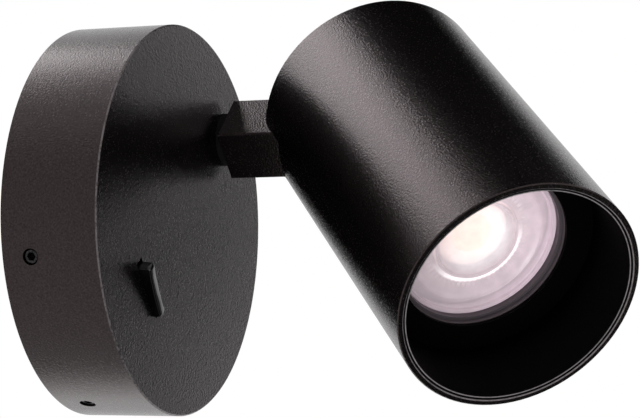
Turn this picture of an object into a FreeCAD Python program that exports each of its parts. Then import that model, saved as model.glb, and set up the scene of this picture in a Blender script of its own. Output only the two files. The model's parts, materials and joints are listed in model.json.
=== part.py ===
import FreeCAD, Part
import math
import os
import Sketcher
from FreeCAD import Placement, Rotation, Vector

# A pivoting spotlight for a wall: a round base with a rocker switch, a square arm that swivels on the base,
# and a tube head that tilts on the arm and holds a twist-and-lock lamp behind a glare baffle.
# World frame, millimetres: +Z up, the wall is the plane Y = 0, the light stands out towards -Y.

doc = FreeCAD.newDocument("wall_spotlight")

# Driving sizes: name, millimetres or degrees, what it is.
SIZES = (
    ("base_dia", 100.0, "round base, outside"),
    ("base_depth", 25.4, "base, wall to front face"),
    ("base_wall", 1.6, "base, side wall"),
    ("base_front", 2.0, "base, front wall"),
    ("base_bevel", 0.35, "base, bevel round the front face"),
    ("arm_side", 15.0, "square arm, across its flats"),
    ("arm_edge", 0.5, "arm, rounding of its edges"),
    ("arm_from_rim", 14.8, "arm centre, in from the base's rim"),
    ("arm_wall", 2.0, "arm, wall of its hollow stretch"),
    ("arm_root", 5.0, "arm, solid end at the base"),
    ("arm_gap", 2.0, "base face to the arm's end"),
    ("swivel_rest", 2.3, "arm turned about its stud at rest"),
    ("pivot_reach", 31.7, "base face to the tilt pivot"),
    ("pivot_offset", 13.6, "head axis to the tilt pivot"),
    ("pivot_setback", 6.8, "head's rear face to the tilt pivot"),
    ("tilt_rest", 54.3, "head axis below the horizontal at rest"),
    ("head_dia", 61.0, "head tube, outside"),
    ("head_wall", 1.5, "head tube, wall"),
    ("head_length", 95.6, "head tube, length"),
    ("head_bevel", 0.25, "head tube, bevel of its end edges"),
    ("slot_reach", 10.6, "arm slot in the tube, from its rear end"),
    ("slot_corner", 0.8, "arm slot in the tube, corner radius"),
    ("slot_gap", 0.5, "arm slot, clearance each side of the arm"),
    ("cap_thick", 2.5, "rear cap, thickness"),
    ("baffle_wall", 0.7, "glare baffle, wall"),
    ("baffle_inset", 0.4, "glare baffle, behind the mouth"),
    ("baffle_ring", 1.0, "glare baffle, thickness of its ring"),
    ("aperture_dia", 42.8, "glare baffle, opening for the light"),
    ("bearing_gap", 0.05, "pin or stud in its hole, each side"),
    ("slide_gap", 0.1, "between faces that turn on each other"),
    ("seat_gap", 0.05, "loose fit of a fixed piece, each side"),
    ("stud_dia", 10.0, "hollow stud of the arm"),
    ("stud_bore", 7.0, "hollow stud, bore"),
    ("stud_tail", 1.5, "stud past its nut"),
    ("washer_dia", 14.0, "swivel washers, outside"),
    ("slide_washer", 0.8, "swivel slide washer, thickness"),
    ("stop_washer", 1.0, "stop washer, thickness"),
    ("stop_reach", 9.4, "stop washer's tab, from the swivel axis"),
    ("stop_tab", 3.0, "stop washer's tab, width"),
    ("stop_lug", 2.4, "stop lug on the base, diameter"),
    ("stop_at", 9.0, "stop lug, from the swivel axis"),
    ("spring_thick", 0.8, "swivel spring washer, plate"),
    ("spring_rise", 0.6, "swivel spring washer, dish"),
    ("stud_nut_flats", 14.0, "stud nut, across flats"),
    ("stud_nut_thick", 4.0, "stud nut, thickness"),
    ("pivot_dia", 4.0, "tilt bolt"),
    ("pivot_head_dia", 7.0, "tilt bolt, head"),
    ("pivot_head_thick", 2.8, "tilt bolt, head thickness"),
    ("pivot_socket", 2.5, "tilt bolt, hexagon socket across flats"),
    ("pivot_nut_flats", 7.0, "lock nut, across flats"),
    ("pivot_nut_thick", 5.0, "lock nut, thickness"),
    ("pivot_tail", 0.8, "tilt bolt past its nut"),
    ("friction_thick", 0.3, "friction washer, thickness"),
    ("friction_dia", 10.0, "friction washer, outside"),
    ("sheet_thick", 1.5, "bent steel brackets, sheet"),
    ("cheek_round", 6.0, "pivot bracket's cheeks, round the pivot"),
    ("bracket_foot", 6.0, "pivot bracket, foot past the head axis"),
    ("cap_skin", 0.6, "rear cap, metal left behind its blind threads"),
    ("foot_screws", 12.0, "bracket foot screws, centre to centre"),
    ("pivot_foot_at", 1.0, "pivot bracket's screws, past the head axis"),
    ("leg_foot_at", 17.0, "holder bracket's screws, past the head axis"),
    ("leg_gap", 1.0, "lampholder to the bracket's leg"),
    ("shelf_reach", 6.5, "holder bracket's shelf, towards the pivot"),
    ("lead_hole", 8.0, "holder bracket, hole for the leads"),
    ("pivot_spring", 1.0, "tilt spring washer, height"),
    ("pivot_spring_dia", 8.0, "tilt spring washer, outside"),
    ("plate_gap", 6.4, "mounting plate, inside the base's side wall"),
    ("plate_thick", 1.5, "mounting plate, sheet"),
    ("tab_gap", 4.2, "mounting plate's tabs, inside the base's side wall"),
    ("tab_width", 12.0, "mounting plate's tabs, width"),
    ("tab_height", 10.0, "mounting plate's tabs, from the wall"),
    ("hole_spacing", 60.0, "wall screw slots, centre to centre"),
    ("hole_width", 4.5, "wall screw slots, width"),
    ("hole_length", 12.0, "wall screw slots, length"),
    ("entry_down", 12.0, "cable entry below the base centre"),
    ("entry_hole", 14.0, "cable entry, hole in the plate"),
    ("entry_bore", 10.0, "cable grommet, bore"),
    ("entry_flange", 18.0, "cable grommet, flange"),
    ("entry_lip", 1.6, "cable grommet, flange thickness"),
    ("grub_dia", 4.0, "grub screws"),
    ("grub_socket", 2.0, "grub screws, socket across flats"),
    ("grub_angle", 28.0, "grub screws, each side of the lowest point"),
    ("grub_up", 7.5, "grub screws, from the wall"),
    ("grub_inset", 0.5, "grub screws, below the rim's surface"),
    ("grub_bevel", 0.4, "grub screws, bevel of the outer end"),
    ("boss_dia", 8.0, "grub screw bosses"),
    ("boss_reach", 2.6, "grub screw bosses, inwards from the side wall"),
    ("peg_dia", 3.0, "hanging peg inside the base"),
    ("peg_tip", 1.3, "hanging peg, past the tab's outer face"),
    ("switch_down", 27.5, "rocker centre below the base centre"),
    ("switch_cut_length", 17.3, "rocker opening, length"),
    ("switch_cut_width", 3.1, "rocker opening, width"),
    ("rocker_length", 16.0, "rocker, length"),
    ("rocker_gap", 0.2, "rocker, clearance each side"),
    ("rocker_proud", 2.5, "rocker at mid travel, out of the face"),
    ("rocker_pivot", 3.6, "rocker pivot behind the face"),
    ("rocker_rest", 6.0, "rocker, angle either side of mid travel"),
    ("rocker_pin", 2.4, "rocker pivot pins, diameter"),
    ("rocker_pin_reach", 1.6, "rocker pivot pins, each side of the blade"),
    ("rocker_round", 0.8, "rocker, rounding of its top edges"),
    ("rocker_dip", 0.3, "rocker, dip in the middle of its top"),
    ("tag_width", 4.8, "switch connection tags, width"),
    ("tag_thick", 0.8, "switch connection tags, thickness"),
    ("tag_length", 6.0, "switch connection tags, length"),
    ("switch_length", 23.0, "switch body, length"),
    ("switch_width", 10.0, "switch body, width"),
    ("switch_depth", 12.0, "switch body, behind the front wall"),
    ("ear_reach", 14.5, "switch screws, each side of its centre"),
    ("ear_boss", 5.0, "switch screw bosses, diameter"),
    ("ear_height", 3.0, "switch screw bosses, height"),
    ("ear_thick", 2.0, "switch ears, thickness"),
    ("block_up", 8.0, "terminal block centre above the base centre"),
    ("block_length", 30.0, "terminal block, length"),
    ("block_width", 17.0, "terminal block, width"),
    ("block_height", 12.0, "terminal block, height"),
    ("notch_width", 4.6, "terminal block, notches between its poles"),
    ("pole_pitch", 9.0, "terminal poles, centre to centre"),
    ("pole_bore", 5.0, "terminal poles, brass tube"),
    ("wire_bore", 3.0, "terminal poles, wire hole"),
    ("pole_rise", 4.5, "terminal poles above the block's foot"),
    ("clamp_screw", 2.8, "terminal screws"),
    ("clamp_pitch", 8.0, "terminal screws of one pole, centre to centre"),
    ("earth_left", 24.0, "earth screw, to the left of the centre"),
    ("earth_up", 24.0, "earth screw, above the centre"),
    ("earth_dia", 4.0, "earth screw"),
    ("earth_head", 8.0, "earth screw, head"),
    ("earth_collar", 3.0, "earth screw's collar on the plate, height"),
    ("lamp_dia", 50.0, "lamp, rim"),
    ("lamp_length", 47.0, "lamp, rim to the foot of its base"),
    ("lamp_gap", 0.3, "lamp rim behind the baffle"),
    ("lens_dia", 41.2, "lamp lens"),
    ("lens_inset", 2.9, "lamp lens behind the rim"),
    ("lens_thick", 6.5, "lamp lens, thickness"),
    ("led_dia", 17.0, "light source behind the lens"),
    ("led_thick", 1.0, "light source, thickness"),
    ("lamp_neck", 27.0, "lamp body, diameter at the neck"),
    ("lamp_base_dia", 24.0, "lamp base, diameter at the foot"),
    ("lamp_base_rise", 10.6, "lamp base, height"),
    ("pin_pitch", 10.0, "lamp pins, centre to centre"),
    ("pin_head", 5.0, "lamp pins, head"),
    ("pin_neck", 2.9, "lamp pins, neck"),
    ("pin_length", 7.0, "lamp pins, length"),
    ("pin_head_rise", 3.0, "lamp pins, head height"),
    ("twist_lock", 22.0, "lamp's turn from locked to free, degrees"),
    ("socket_length", 31.0, "lampholder, length"),
    ("socket_width", 15.0, "lampholder, width"),
    ("socket_height", 12.2, "lampholder, height"),
    ("socket_roof", 3.2, "lampholder, thickness over the pin heads"),
    ("socket_screws", 23.0, "lampholder screws, centre to centre"),
    ("socket_corner", 2.0, "lampholder, corner radius"),
    ("pin_play", 0.35, "lamp pins in their keyholes, each side"),
    ("rim_height", 5.0, "lamp rim, height of its straight edge"),
    ("rim_step", 0.8, "lamp rim, step round the lens"),
    ("lens_step", 1.2, "lens rings, width"),
    ("small_screw", 3.0, "small fixing screws"),
    ("small_head", 5.6, "small fixing screws, head"),
    ("small_head_thick", 2.0, "small fixing screws, head thickness"),
    ("cable_dia", 6.2, "cable inside the stud and arm"),
)


class Size:
    """A size: its value now, and the expression that the document keeps for it."""

    def __init__(self, value, text):
        self.value = value
        self.text = text

    def __add__(self, other):
        return Size(self.value + number(other), f"({self.text} + {words(other)})")

    def __sub__(self, other):
        return Size(self.value - number(other), f"({self.text} - {words(other)})")

    def __mul__(self, other):
        return Size(self.value * number(other), f"({self.text} * {words(other)})")

    def __truediv__(self, other):
        return Size(self.value / number(other), f"({self.text} / {words(other)})")

    def __radd__(self, other):
        return Size(number(other) + self.value, f"({words(other)} + {self.text})")

    def __rsub__(self, other):
        return Size(number(other) - self.value, f"({words(other)} - {self.text})")

    def __neg__(self):
        return Size(-self.value, f"(-1 * {self.text})")


def number(size):
    """The value of a Size or of a plain number."""
    return size.value if isinstance(size, Size) else float(size)


def words(size):
    """The expression of a Size or of a plain number."""
    return size.text if isinstance(size, Size) else repr(float(size))


def sine(angle):
    return Size(math.sin(math.radians(angle.value)), f"sin({angle.text} * 1deg)")


def cosine(angle):
    return Size(math.cos(math.radians(angle.value)), f"cos({angle.text} * 1deg)")


def make_sheet():
    """Writes the driving sizes into the document's sheet and gives them back by name."""
    sheet = doc.addObject("Spreadsheet::Sheet", "Sizes")
    for row, (alias, value, note) in enumerate(SIZES, 1):
        sheet.set(f"A{row}", note)
        sheet.set(f"B{row}", str(value))
        sheet.setAlias(f"B{row}", alias)
    doc.recompute()
    return {alias: Size(float(sheet.get(alias)), f"Sizes.{alias}") for alias, _, _ in SIZES}


z = make_sheet()


# ---------- helpers: bodies, sketches and features ----------

def bind(item, prop, size):
    """Sets a property and keeps it tied to the sheet."""
    if isinstance(size, Size):
        item.setExpression(prop, size.text)
    else:
        setattr(item, prop, size)


def make_body(name):
    return doc.addObject("PartDesign::Body", name)


def origin_plane(body, role):
    return [f for f in body.Origin.OriginFeatures if f.Role == role][0]


def make_sketch(body, name, role="XY_Plane", offset=None, turn=None):
    """A sketch on one of the body's own planes, moved along its normal by offset, or turned about its upright."""
    sketch = body.newObject("Sketcher::SketchObject", name)
    sketch.AttachmentSupport = [(origin_plane(body, role), "")]
    sketch.MapMode = "FlatFace"
    if turn is not None:
        sketch.AttachmentOffset = Placement(Vector(0, 0, 0), Rotation(Vector(0, 1, 0), number(turn)))
        sketch.setExpression("AttachmentOffset.Base.x", (offset * sine(turn)).text)
        sketch.setExpression("AttachmentOffset.Base.z", (offset * cosine(turn)).text)
    elif offset is not None:
        sketch.setExpression("AttachmentOffset.Base.z", words(offset))
    return sketch


def hold(sketch, kind, size, *where):
    """Adds a dimension to the sketch and ties it to the sheet."""
    index = sketch.addConstraint(Sketcher.Constraint(kind, *where, number(size)))
    if isinstance(size, Size):
        sketch.setExpression(f"Constraints[{index}]", size.text)


def hold_point(sketch, geometry, point, across, up):
    hold(sketch, "DistanceX", across, -1, 1, geometry, point)
    hold(sketch, "DistanceY", up, -1, 1, geometry, point)


def draw_circle(sketch, dia, across=0, up=0):
    centre = Vector(number(across), number(up), 0)
    ring = sketch.addGeometry(Part.Circle(centre, Vector(0, 0, 1), number(dia) / 2), False)
    hold(sketch, "Diameter", dia, ring)
    hold_point(sketch, ring, 3, across, up)


def draw_outline(sketch, points):
    """A closed outline of straight lines. Each corner is held by its two distances from the origin."""
    corners = [Vector(number(a), number(b), 0) for a, b in points]
    count = len(corners)
    lines = [Part.LineSegment(corners[i], corners[(i + 1) % count]) for i in range(count)]
    first = sketch.addGeometry(lines, False)[0]
    for i in range(count):
        joint = Sketcher.Constraint("Coincident", first + i, 2, first + (i + 1) % count, 1)
        sketch.addConstraint(joint)
    for i, (across, up) in enumerate(points):
        hold_point(sketch, first + i, 1, across, up)


def draw_rectangle(sketch, left, right, low, high):
    draw_outline(sketch, [(left, low), (right, low), (right, high), (left, high)])


def join_round(sketch, first, corners):
    """Joins four edges end to end. A joint named in corners is sharp, and the others run smoothly on."""
    for i in range(4):
        kind = "Coincident" if i in corners else "Tangent"
        sketch.addConstraint(Sketcher.Constraint(kind, first + i, 2, first + (i + 1) % 4, 1))


def draw_round_end(sketch, left, right, low, middle):
    """A strip from low up to middle, closed there by a half circle as wide as the strip."""
    radius = number(right - left) / 2
    a = Vector(number(left), number(low), 0)
    b = Vector(number(right), number(low), 0)
    c = Vector(number(right), number(middle), 0)
    d = Vector(number(left), number(middle), 0)
    top = Part.Arc(c, Vector((a.x + b.x) / 2, c.y + radius, 0), d)
    edges = [Part.LineSegment(a, b), Part.LineSegment(b, c), top, Part.LineSegment(d, a)]
    first = sketch.addGeometry(edges, False)[0]
    join_round(sketch, first, (0, 3))
    hold_point(sketch, first, 1, left, low)
    hold_point(sketch, first, 2, right, low)
    sketch.addConstraint(Sketcher.Constraint("Vertical", first + 1))
    sketch.addConstraint(Sketcher.Constraint("Vertical", first + 3))
    hold(sketch, "DistanceY", middle, -1, 1, first + 2, 3)


def draw_slot(sketch, length, width, across, up):
    """A level slot with round ends."""
    half = (length - width) / 2
    low = up - width / 2
    left = across - half
    right = across + half
    radius = width / 2
    a = Vector(number(left), number(low), 0)
    b = Vector(number(right), number(low), 0)
    c = b + Vector(0, number(width), 0)
    d = a + Vector(0, number(width), 0)
    east = Part.Arc(b, (b + c) / 2 + Vector(number(radius), 0, 0), c)
    west = Part.Arc(d, (a + d) / 2 - Vector(number(radius), 0, 0), a)
    first = sketch.addGeometry([Part.LineSegment(a, b), east, Part.LineSegment(c, d), west], False)[0]
    join_round(sketch, first, ())
    hold_point(sketch, first, 1, left, low)
    hold_point(sketch, first, 2, right, low)
    hold(sketch, "Radius", radius, first + 1)
    hold(sketch, "Radius", radius, first + 3)


def draw_arc_slot(sketch, path, width, sweep):
    """A slot with round ends that runs round the origin, from the x axis through the angle sweep."""
    turn = math.radians(sweep.value)
    middle = Vector(0, 0, 0)
    near = Vector(path.value, 0, 0)
    far = Vector(path.value * math.cos(turn), path.value * math.sin(turn), 0)
    arcs = [(middle, path + width / 2, 0, turn), (far, width / 2, turn, turn + math.pi),
            (middle, path - width / 2, 0, turn), (near, width / 2, math.pi, math.pi * 2)]
    made = [Part.ArcOfCircle(Part.Circle(centre, Vector(0, 0, 1), radius.value), start, end)
            for centre, radius, start, end in arcs]
    first = sketch.addGeometry(made, False)[0]
    for one, end, other, start in ((0, 2, 1, 1), (1, 2, 2, 2), (2, 1, 3, 1), (3, 2, 0, 1)):
        sketch.addConstraint(Sketcher.Constraint("Tangent", first + one, end, first + other, start))
    for arc in (0, 2):
        hold_point(sketch, first + arc, 3, 0, 0)
        hold(sketch, "Radius", arcs[arc][1], first + arc)
    hold(sketch, "DistanceY", 0, -1, 1, first + 3, 3)
    hold(sketch, "DistanceY", path * sine(sweep), -1, 1, first + 1, 3)


def pad(body, sketch, length, back=False, middle=False):
    feature = body.newObject("PartDesign::Pad", sketch.Name + "_pad")
    feature.Profile = sketch
    bind(feature, "Length", length)
    feature.Reversed = back
    feature.Midplane = middle
    sketch.Visibility = False
    return feature


def pocket(body, sketch, length=None, back=False, middle=False):
    """A cut to a depth, or through everything where no length is given. back cuts along the sketch's normal."""
    feature = body.newObject("PartDesign::Pocket", sketch.Name + "_pocket")
    feature.Profile = sketch
    if length is None:
        feature.Type = 1
    else:
        bind(feature, "Length", length)
    feature.Reversed = back
    feature.Midplane = middle
    return feature


def revolve(body, sketch):
    feature = body.newObject("PartDesign::Revolution", sketch.Name + "_turn")
    feature.Profile = sketch
    feature.ReferenceAxis = (sketch, ["V_Axis"])
    feature.Angle = 360
    return feature


def mirror(body, features, role="YZ_Plane"):
    feature = body.newObject("PartDesign::Mirrored", features[0].Name + "_mirror")
    feature.Originals = features
    feature.MirrorPlane = (origin_plane(body, role), [""])
    body.Tip = feature
    return feature


def edges_where(feature, test):
    """The names of the feature's edges that pass the test."""
    doc.recompute()
    edges = feature.Shape.Edges
    return [f"Edge{i}" for i, edge in enumerate(edges, 1) if test(edge)]


def fillet(body, feature, size, test):
    rounding = body.newObject("PartDesign::Fillet", feature.Name + "_round")
    rounding.Base = (feature, edges_where(feature, test))
    bind(rounding, "Radius", size)
    return rounding


def chamfer(body, feature, size, test):
    bevel = body.newObject("PartDesign::Chamfer", feature.Name + "_bevel")
    bevel.Base = (feature, edges_where(feature, test))
    bind(bevel, "Size", size)
    return bevel


# ---------- helpers: simple solids ----------

def cylinder(dia, height, across=0, up=0, out=0):
    item = doc.addObject("Part::Cylinder", "round")
    bind(item, "Radius", dia / 2)
    bind(item, "Height", height)
    return moved(item, across, up, out)


def cone(dia_low, dia_high, height, across=0, up=0, out=0):
    item = doc.addObject("Part::Cone", "cone")
    bind(item, "Radius1", dia_low / 2)
    bind(item, "Radius2", dia_high / 2)
    bind(item, "Height", height)
    return moved(item, across, up, out)


def hexagon(flats, height, across=0, up=0, out=0):
    """A hexagonal bar. Part::Prism takes the radius to its corners."""
    item = doc.addObject("Part::Prism", "hexagon")
    item.Polygon = 6
    bind(item, "Circumradius", flats / math.sqrt(3))
    bind(item, "Height", height)
    return moved(item, across, up, out)


def block(length, width, height, across=0, up=0, out=0):
    """A box centred on across and up, standing on out."""
    item = doc.addObject("Part::Box", "block")
    bind(item, "Length", length)
    bind(item, "Width", width)
    bind(item, "Height", height)
    return moved(item, across - length / 2, up - width / 2, out)


def moved(item, across, up, out):
    for axis, size in (("x", across), ("y", up), ("z", out)):
        item.setExpression(f"Placement.Base.{axis}", words(size))
    return item


def joined(*items):
    union = doc.addObject("Part::MultiFuse", "union")
    union.Shapes = list(items)
    return union


def cut(base, *tools):
    result = doc.addObject("Part::Cut", "cut")
    result.Base = base
    result.Tool = tools[0] if len(tools) == 1 else joined(*tools)
    return result


def group(items):
    """Separate solids kept together as one node."""
    items = list(items)
    compound = doc.addObject("Part::Compound", "group")
    compound.Links = items
    return compound


def ring(dia, bore, height, out=0):
    return cut(cylinder(dia, height, 0, 0, out), cylinder(bore, height * 3, 0, 0, out - height))


def dished_washer(dia, hole, plate, rise, out):
    """A spring washer: a flat plate drawn up into a cone."""
    slope = cone(dia, hole, rise, 0, 0, out + plate)
    hollow = cone(dia, hole, rise, 0, 0, out)
    bore = cylinder(hole, rise * 12, 0, 0, out - rise * 4)
    return cut(joined(cylinder(dia, plate, 0, 0, out), slope), hollow, bore)


# ---------- frames ----------

UPRIGHT = Rotation(Vector(1, 0, 0), 90)
base_frame = Placement(Vector(0, 0, 0), UPRIGHT)
# In base_frame x is the world's X, y is up and z is the way out of the wall.
swivel = Rotation(Vector(0, 0, 1), z["swivel_rest"].value)
arm_up = z["base_dia"] / 2 - z["arm_from_rim"]
swivel_frame = base_frame * Placement(Vector(0, arm_up.value, 0), swivel)
# In swivel_frame z is the arm's stud. The tilt bolt crosses it at pivot_out from the wall.
pivot_out = z["base_depth"] + z["pivot_reach"]
tilt = Rotation(Vector(1, 0, 0), z["tilt_rest"].value)
pivot_place = swivel_frame * Placement(Vector(0, 0, pivot_out.value), tilt)
pivot_in_head = Placement(Vector(0, -z["pivot_offset"].value, z["pivot_setback"].value), Rotation())
head_frame = pivot_place * pivot_in_head.inverse()
# In head_frame z runs from the head's rear face to its mouth, and -y faces the wall.
bolt_frame = pivot_place * Placement(Vector(0, 0, 0), Rotation(Vector(0, 1, 0), 90))
# In bolt_frame z runs along the tilt bolt.

nodes = []


def finish(label, item, frame):
    """Names a sub-part, puts it in its place and keeps it for export."""
    item.Label = label
    item.Placement = frame
    nodes.append(item)


# ---------- the base ----------

base_inner = z["base_dia"] / 2 - z["base_wall"]
base_floor = z["base_depth"] - z["base_front"]
plate_radius = base_inner - z["plate_gap"]
tab_at = base_inner - z["tab_gap"]


def bent_tab(body, name, turn):
    """A tab bent up at the plate's edge, square to the radius at an angle from the lowest point."""
    inside = plate_radius - z["plate_thick"] * 2
    half = z["tab_width"] / 2
    web = make_sketch(body, name + "_web", "XZ_Plane", inside, turn)
    draw_rectangle(web, -half, half, 0, z["plate_thick"])
    flat = pad(body, web, tab_at - inside)
    face = make_sketch(body, name + "_face", "XZ_Plane", tab_at - z["plate_thick"], turn)
    draw_rectangle(face, -half, half, 0, z["tab_height"])
    return [flat, pad(body, face, z["plate_thick"])]


def make_canopy():
    body = make_body("canopy_housing")
    radius = z["base_dia"] / 2
    shell = make_sketch(body, "canopy_profile", "XZ_Plane")
    draw_outline(shell, [
        (0, base_floor), (base_inner, base_floor), (base_inner, 0), (radius, 0),
        (radius, z["base_depth"] - z["base_bevel"]), (radius - z["base_bevel"], z["base_depth"]),
        (0, z["base_depth"]),
    ])
    revolve(body, shell)
    bosses = make_sketch(body, "switch_bosses", "XY_Plane", base_floor)
    for side in (-1, 1):
        draw_circle(bosses, z["ear_boss"], z["ear_reach"] * side, -z["switch_down"])
    pad(body, bosses, z["ear_height"], back=True)
    lug = make_sketch(body, "stop_lug", "XY_Plane", base_floor)
    draw_circle(lug, z["stop_lug"], 0, arm_up - z["stop_at"])
    pad(body, lug, z["slide_gap"] + z["slide_washer"] + z["stop_washer"], back=True)
    peg = make_sketch(body, "hanging_peg", "XZ_Plane", -(tab_at - z["peg_tip"]))
    draw_circle(peg, z["peg_dia"], 0, z["tab_height"] / 2)
    pad(body, peg, base_inner - tab_at + z["peg_tip"] + z["base_wall"] / 2, back=True)
    boss = make_sketch(body, "grub_boss", "XZ_Plane", base_inner - z["boss_reach"], z["grub_angle"])
    draw_circle(boss, z["boss_dia"], 0, z["grub_up"])
    raised = pad(body, boss, z["boss_reach"] + z["base_wall"] / 2)
    hole = make_sketch(body, "grub_hole", "XZ_Plane", base_inner - z["boss_reach"] * 1.5, z["grub_angle"])
    draw_circle(hole, z["grub_dia"] + z["seat_gap"] * 2, 0, z["grub_up"])
    drilled = pocket(body, hole, back=True)
    mirror(body, [raised, drilled])
    front = make_sketch(body, "front_cuts", "XY_Plane")
    draw_circle(front, z["stud_dia"] + z["bearing_gap"] * 2, 0, arm_up)
    half_length = z["switch_cut_length"] / 2
    half_width = z["switch_cut_width"] / 2
    draw_rectangle(front, -half_length, half_length, -z["switch_down"] - half_width, half_width - z["switch_down"])
    pocket(body, front, back=True)
    thread = make_sketch(body, "switch_threads", "XY_Plane", base_floor - z["ear_height"])
    for side in (-1, 1):
        draw_circle(thread, z["small_screw"] + z["seat_gap"] * 2, z["ear_reach"] * side, -z["switch_down"])
    pocket(body, thread, z["ear_height"], back=True)
    finish("canopy_housing", body, base_frame)


def make_mounting_plate():
    body = make_body("mounting_plate")
    disc = make_sketch(body, "plate_disc")
    draw_circle(disc, plate_radius * 2)
    pad(body, disc, z["plate_thick"])
    collar = make_sketch(body, "earth_collar")
    draw_circle(collar, z["earth_dia"] * 2, -z["earth_left"], z["earth_up"])
    pad(body, collar, z["plate_thick"] + z["earth_collar"])
    bent_tab(body, "peg_tab", Size(180.0, "180"))
    mirror(body, bent_tab(body, "grub_tab", z["grub_angle"]))
    peg = make_sketch(body, "peg_hole", "XZ_Plane", -tab_at * 1.1)
    draw_circle(peg, z["peg_dia"] + z["seat_gap"] * 8, 0, z["tab_height"] / 2)
    pocket(body, peg, tab_at * 0.2, back=True)
    cuts = make_sketch(body, "plate_cuts")
    draw_circle(cuts, z["entry_hole"], 0, -z["entry_down"])
    draw_circle(cuts, z["earth_dia"] + z["seat_gap"] * 2, -z["earth_left"], z["earth_up"])
    for side in (-1, 1):
        draw_slot(cuts, z["hole_length"], z["hole_width"], z["hole_spacing"] / 2 * side, 0)
    for side in (-1, 1):
        draw_circle(cuts, z["small_screw"] + z["seat_gap"] * 2, z["pole_pitch"] / 2 * side, z["block_up"])
    pocket(body, cuts, back=True)
    finish("mounting_plate", body, base_frame)


def make_grommet():
    height = z["plate_thick"] * 2 + z["entry_lip"]
    bush = cylinder(z["entry_hole"] - z["seat_gap"] * 2, height, 0, -z["entry_down"])
    lip = cylinder(z["entry_flange"], z["entry_lip"], 0, -z["entry_down"], z["plate_thick"])
    bore = cylinder(z["entry_bore"], height * 3, 0, -z["entry_down"], -height)
    finish("cable_grommet", cut(joined(bush, lip), bore), base_frame)


def make_terminal_block():
    """A three-pole block: tunnels for the brass tubes run upright, the clamping screws go in from the front."""
    body = make_body("terminal_block")
    foot = make_sketch(body, "block_foot", "XY_Plane", z["plate_thick"])
    half_length = z["block_length"] / 2
    half_width = z["block_width"] / 2
    draw_rectangle(foot, -half_length, half_length, z["block_up"] - half_width, z["block_up"] + half_width)
    pad(body, foot, z["block_height"])
    top = z["plate_thick"] + z["block_height"]
    notch = make_sketch(body, "block_notches", "XY_Plane", top)
    for side in (-1, 1):
        middle = z["pole_pitch"] / 2 * side
        draw_rectangle(notch, middle - z["notch_width"] / 2, middle + z["notch_width"] / 2,
                       z["block_up"] - z["block_width"], z["block_up"] + z["block_width"])
    pocket(body, notch, z["block_height"] / 2)
    tunnel = make_sketch(body, "block_tunnels", "XZ_Plane", -(z["block_up"] + z["block_width"]))
    for pole in (-1, 0, 1):
        draw_circle(tunnel, z["pole_bore"] + z["seat_gap"] * 2, z["pole_pitch"] * pole, z["plate_thick"] + z["pole_rise"])
    pocket(body, tunnel, z["block_width"] * 2, back=True)
    wells = make_sketch(body, "block_wells", "XY_Plane", z["plate_thick"] + z["pole_rise"])
    for pole in (-1, 0, 1):
        for side in (-1, 1):
            draw_circle(wells, z["clamp_screw"] + z["seat_gap"] * 4, z["pole_pitch"] * pole,
                        z["block_up"] + z["clamp_pitch"] / 2 * side)
    pocket(body, wells, back=True)
    fixing = make_sketch(body, "block_fixings", "XY_Plane", 0)
    for side in (-1, 1):
        draw_circle(fixing, z["small_screw"] + z["seat_gap"] * 2, z["pole_pitch"] / 2 * side, z["block_up"])
    pocket(body, fixing, back=True)
    finish("terminal_block", body, base_frame)


def make_terminal_metal():
    """The brass tube of each pole, and its two clamping screws, which stand on the wire inside."""
    axis = z["plate_thick"] + z["pole_rise"]
    length = z["block_width"] - z["plate_thick"]
    tubes = []
    screws = []
    for pole in (-1, 0, 1):
        across = z["pole_pitch"] * pole
        tube = cut(cylinder(z["pole_bore"], length), cylinder(z["wire_bore"], length * 3, 0, 0, -length))
        lying = group([tube])
        lying.Placement = Placement(
            Vector(across.value, (z["block_up"] + length / 2).value, axis.value), Rotation(Vector(1, 0, 0), 90))
        holes = [cylinder(z["clamp_screw"], z["pole_bore"], across, z["block_up"] + z["clamp_pitch"] / 2 * side, axis)
                 for side in (-1, 1)]
        tubes.append(cut(lying, *holes))
        for side in (-1, 1):
            up = z["block_up"] + z["clamp_pitch"] / 2 * side
            height = z["block_height"] - z["pole_rise"] - z["plate_thick"]
            shank = cylinder(z["clamp_screw"] - z["seat_gap"] * 2, height, across, up, axis + z["wire_bore"] / 4)
            slot = block(z["clamp_screw"] * 2, z["clamp_screw"] / 4, 1, across, up,
                         axis + z["wire_bore"] / 4 + height - 0.8)
            screws.append(cut(shank, slot))
    finish("terminal_tubes", group(tubes), base_frame)
    finish("terminal_screws", group(screws), base_frame)


def pan_screw(across, up, seat, shank, dia, head, head_thick):
    """A pan-head screw with a cross recess. seat is the face under its head, and its shank runs inwards."""
    stem = cylinder(dia, shank, across, up, seat - shank)
    top = cylinder(head, head_thick, across, up, seat)
    recess = head_thick / 2
    bars = [block(head * 0.6, head * 0.14, head_thick, across, up, seat + recess),
            block(head * 0.14, head * 0.6, head_thick, across, up, seat + recess)]
    return cut(joined(stem, top), *bars)


def make_base_screws():
    block_seat = z["plate_thick"] + z["block_height"] / 2
    fixings = [pan_screw(z["pole_pitch"] / 2 * side, z["block_up"], block_seat, block_seat - z["seat_gap"],
                         z["small_screw"], z["pole_pitch"] / 2 - z["seat_gap"] * 4, z["small_head_thick"])
               for side in (-1, 1)]
    finish("block_screws", group(fixings), base_frame)
    collar = z["plate_thick"] + z["earth_collar"]
    washer = z["spring_thick"]
    earth = pan_screw(-z["earth_left"], z["earth_up"], collar + washer, collar + washer - z["seat_gap"],
                      z["earth_dia"], z["earth_head"], z["small_head_thick"] + z["seat_gap"])
    finish("earth_screw", group([earth]), base_frame)
    plate = cut(cylinder(z["earth_head"] + z["plate_thick"], washer, -z["earth_left"], z["earth_up"], collar),
                cylinder(z["earth_dia"] + z["seat_gap"] * 2, washer * 3, -z["earth_left"], z["earth_up"],
                         collar - washer))
    finish("earth_washer", plate, base_frame)


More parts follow.
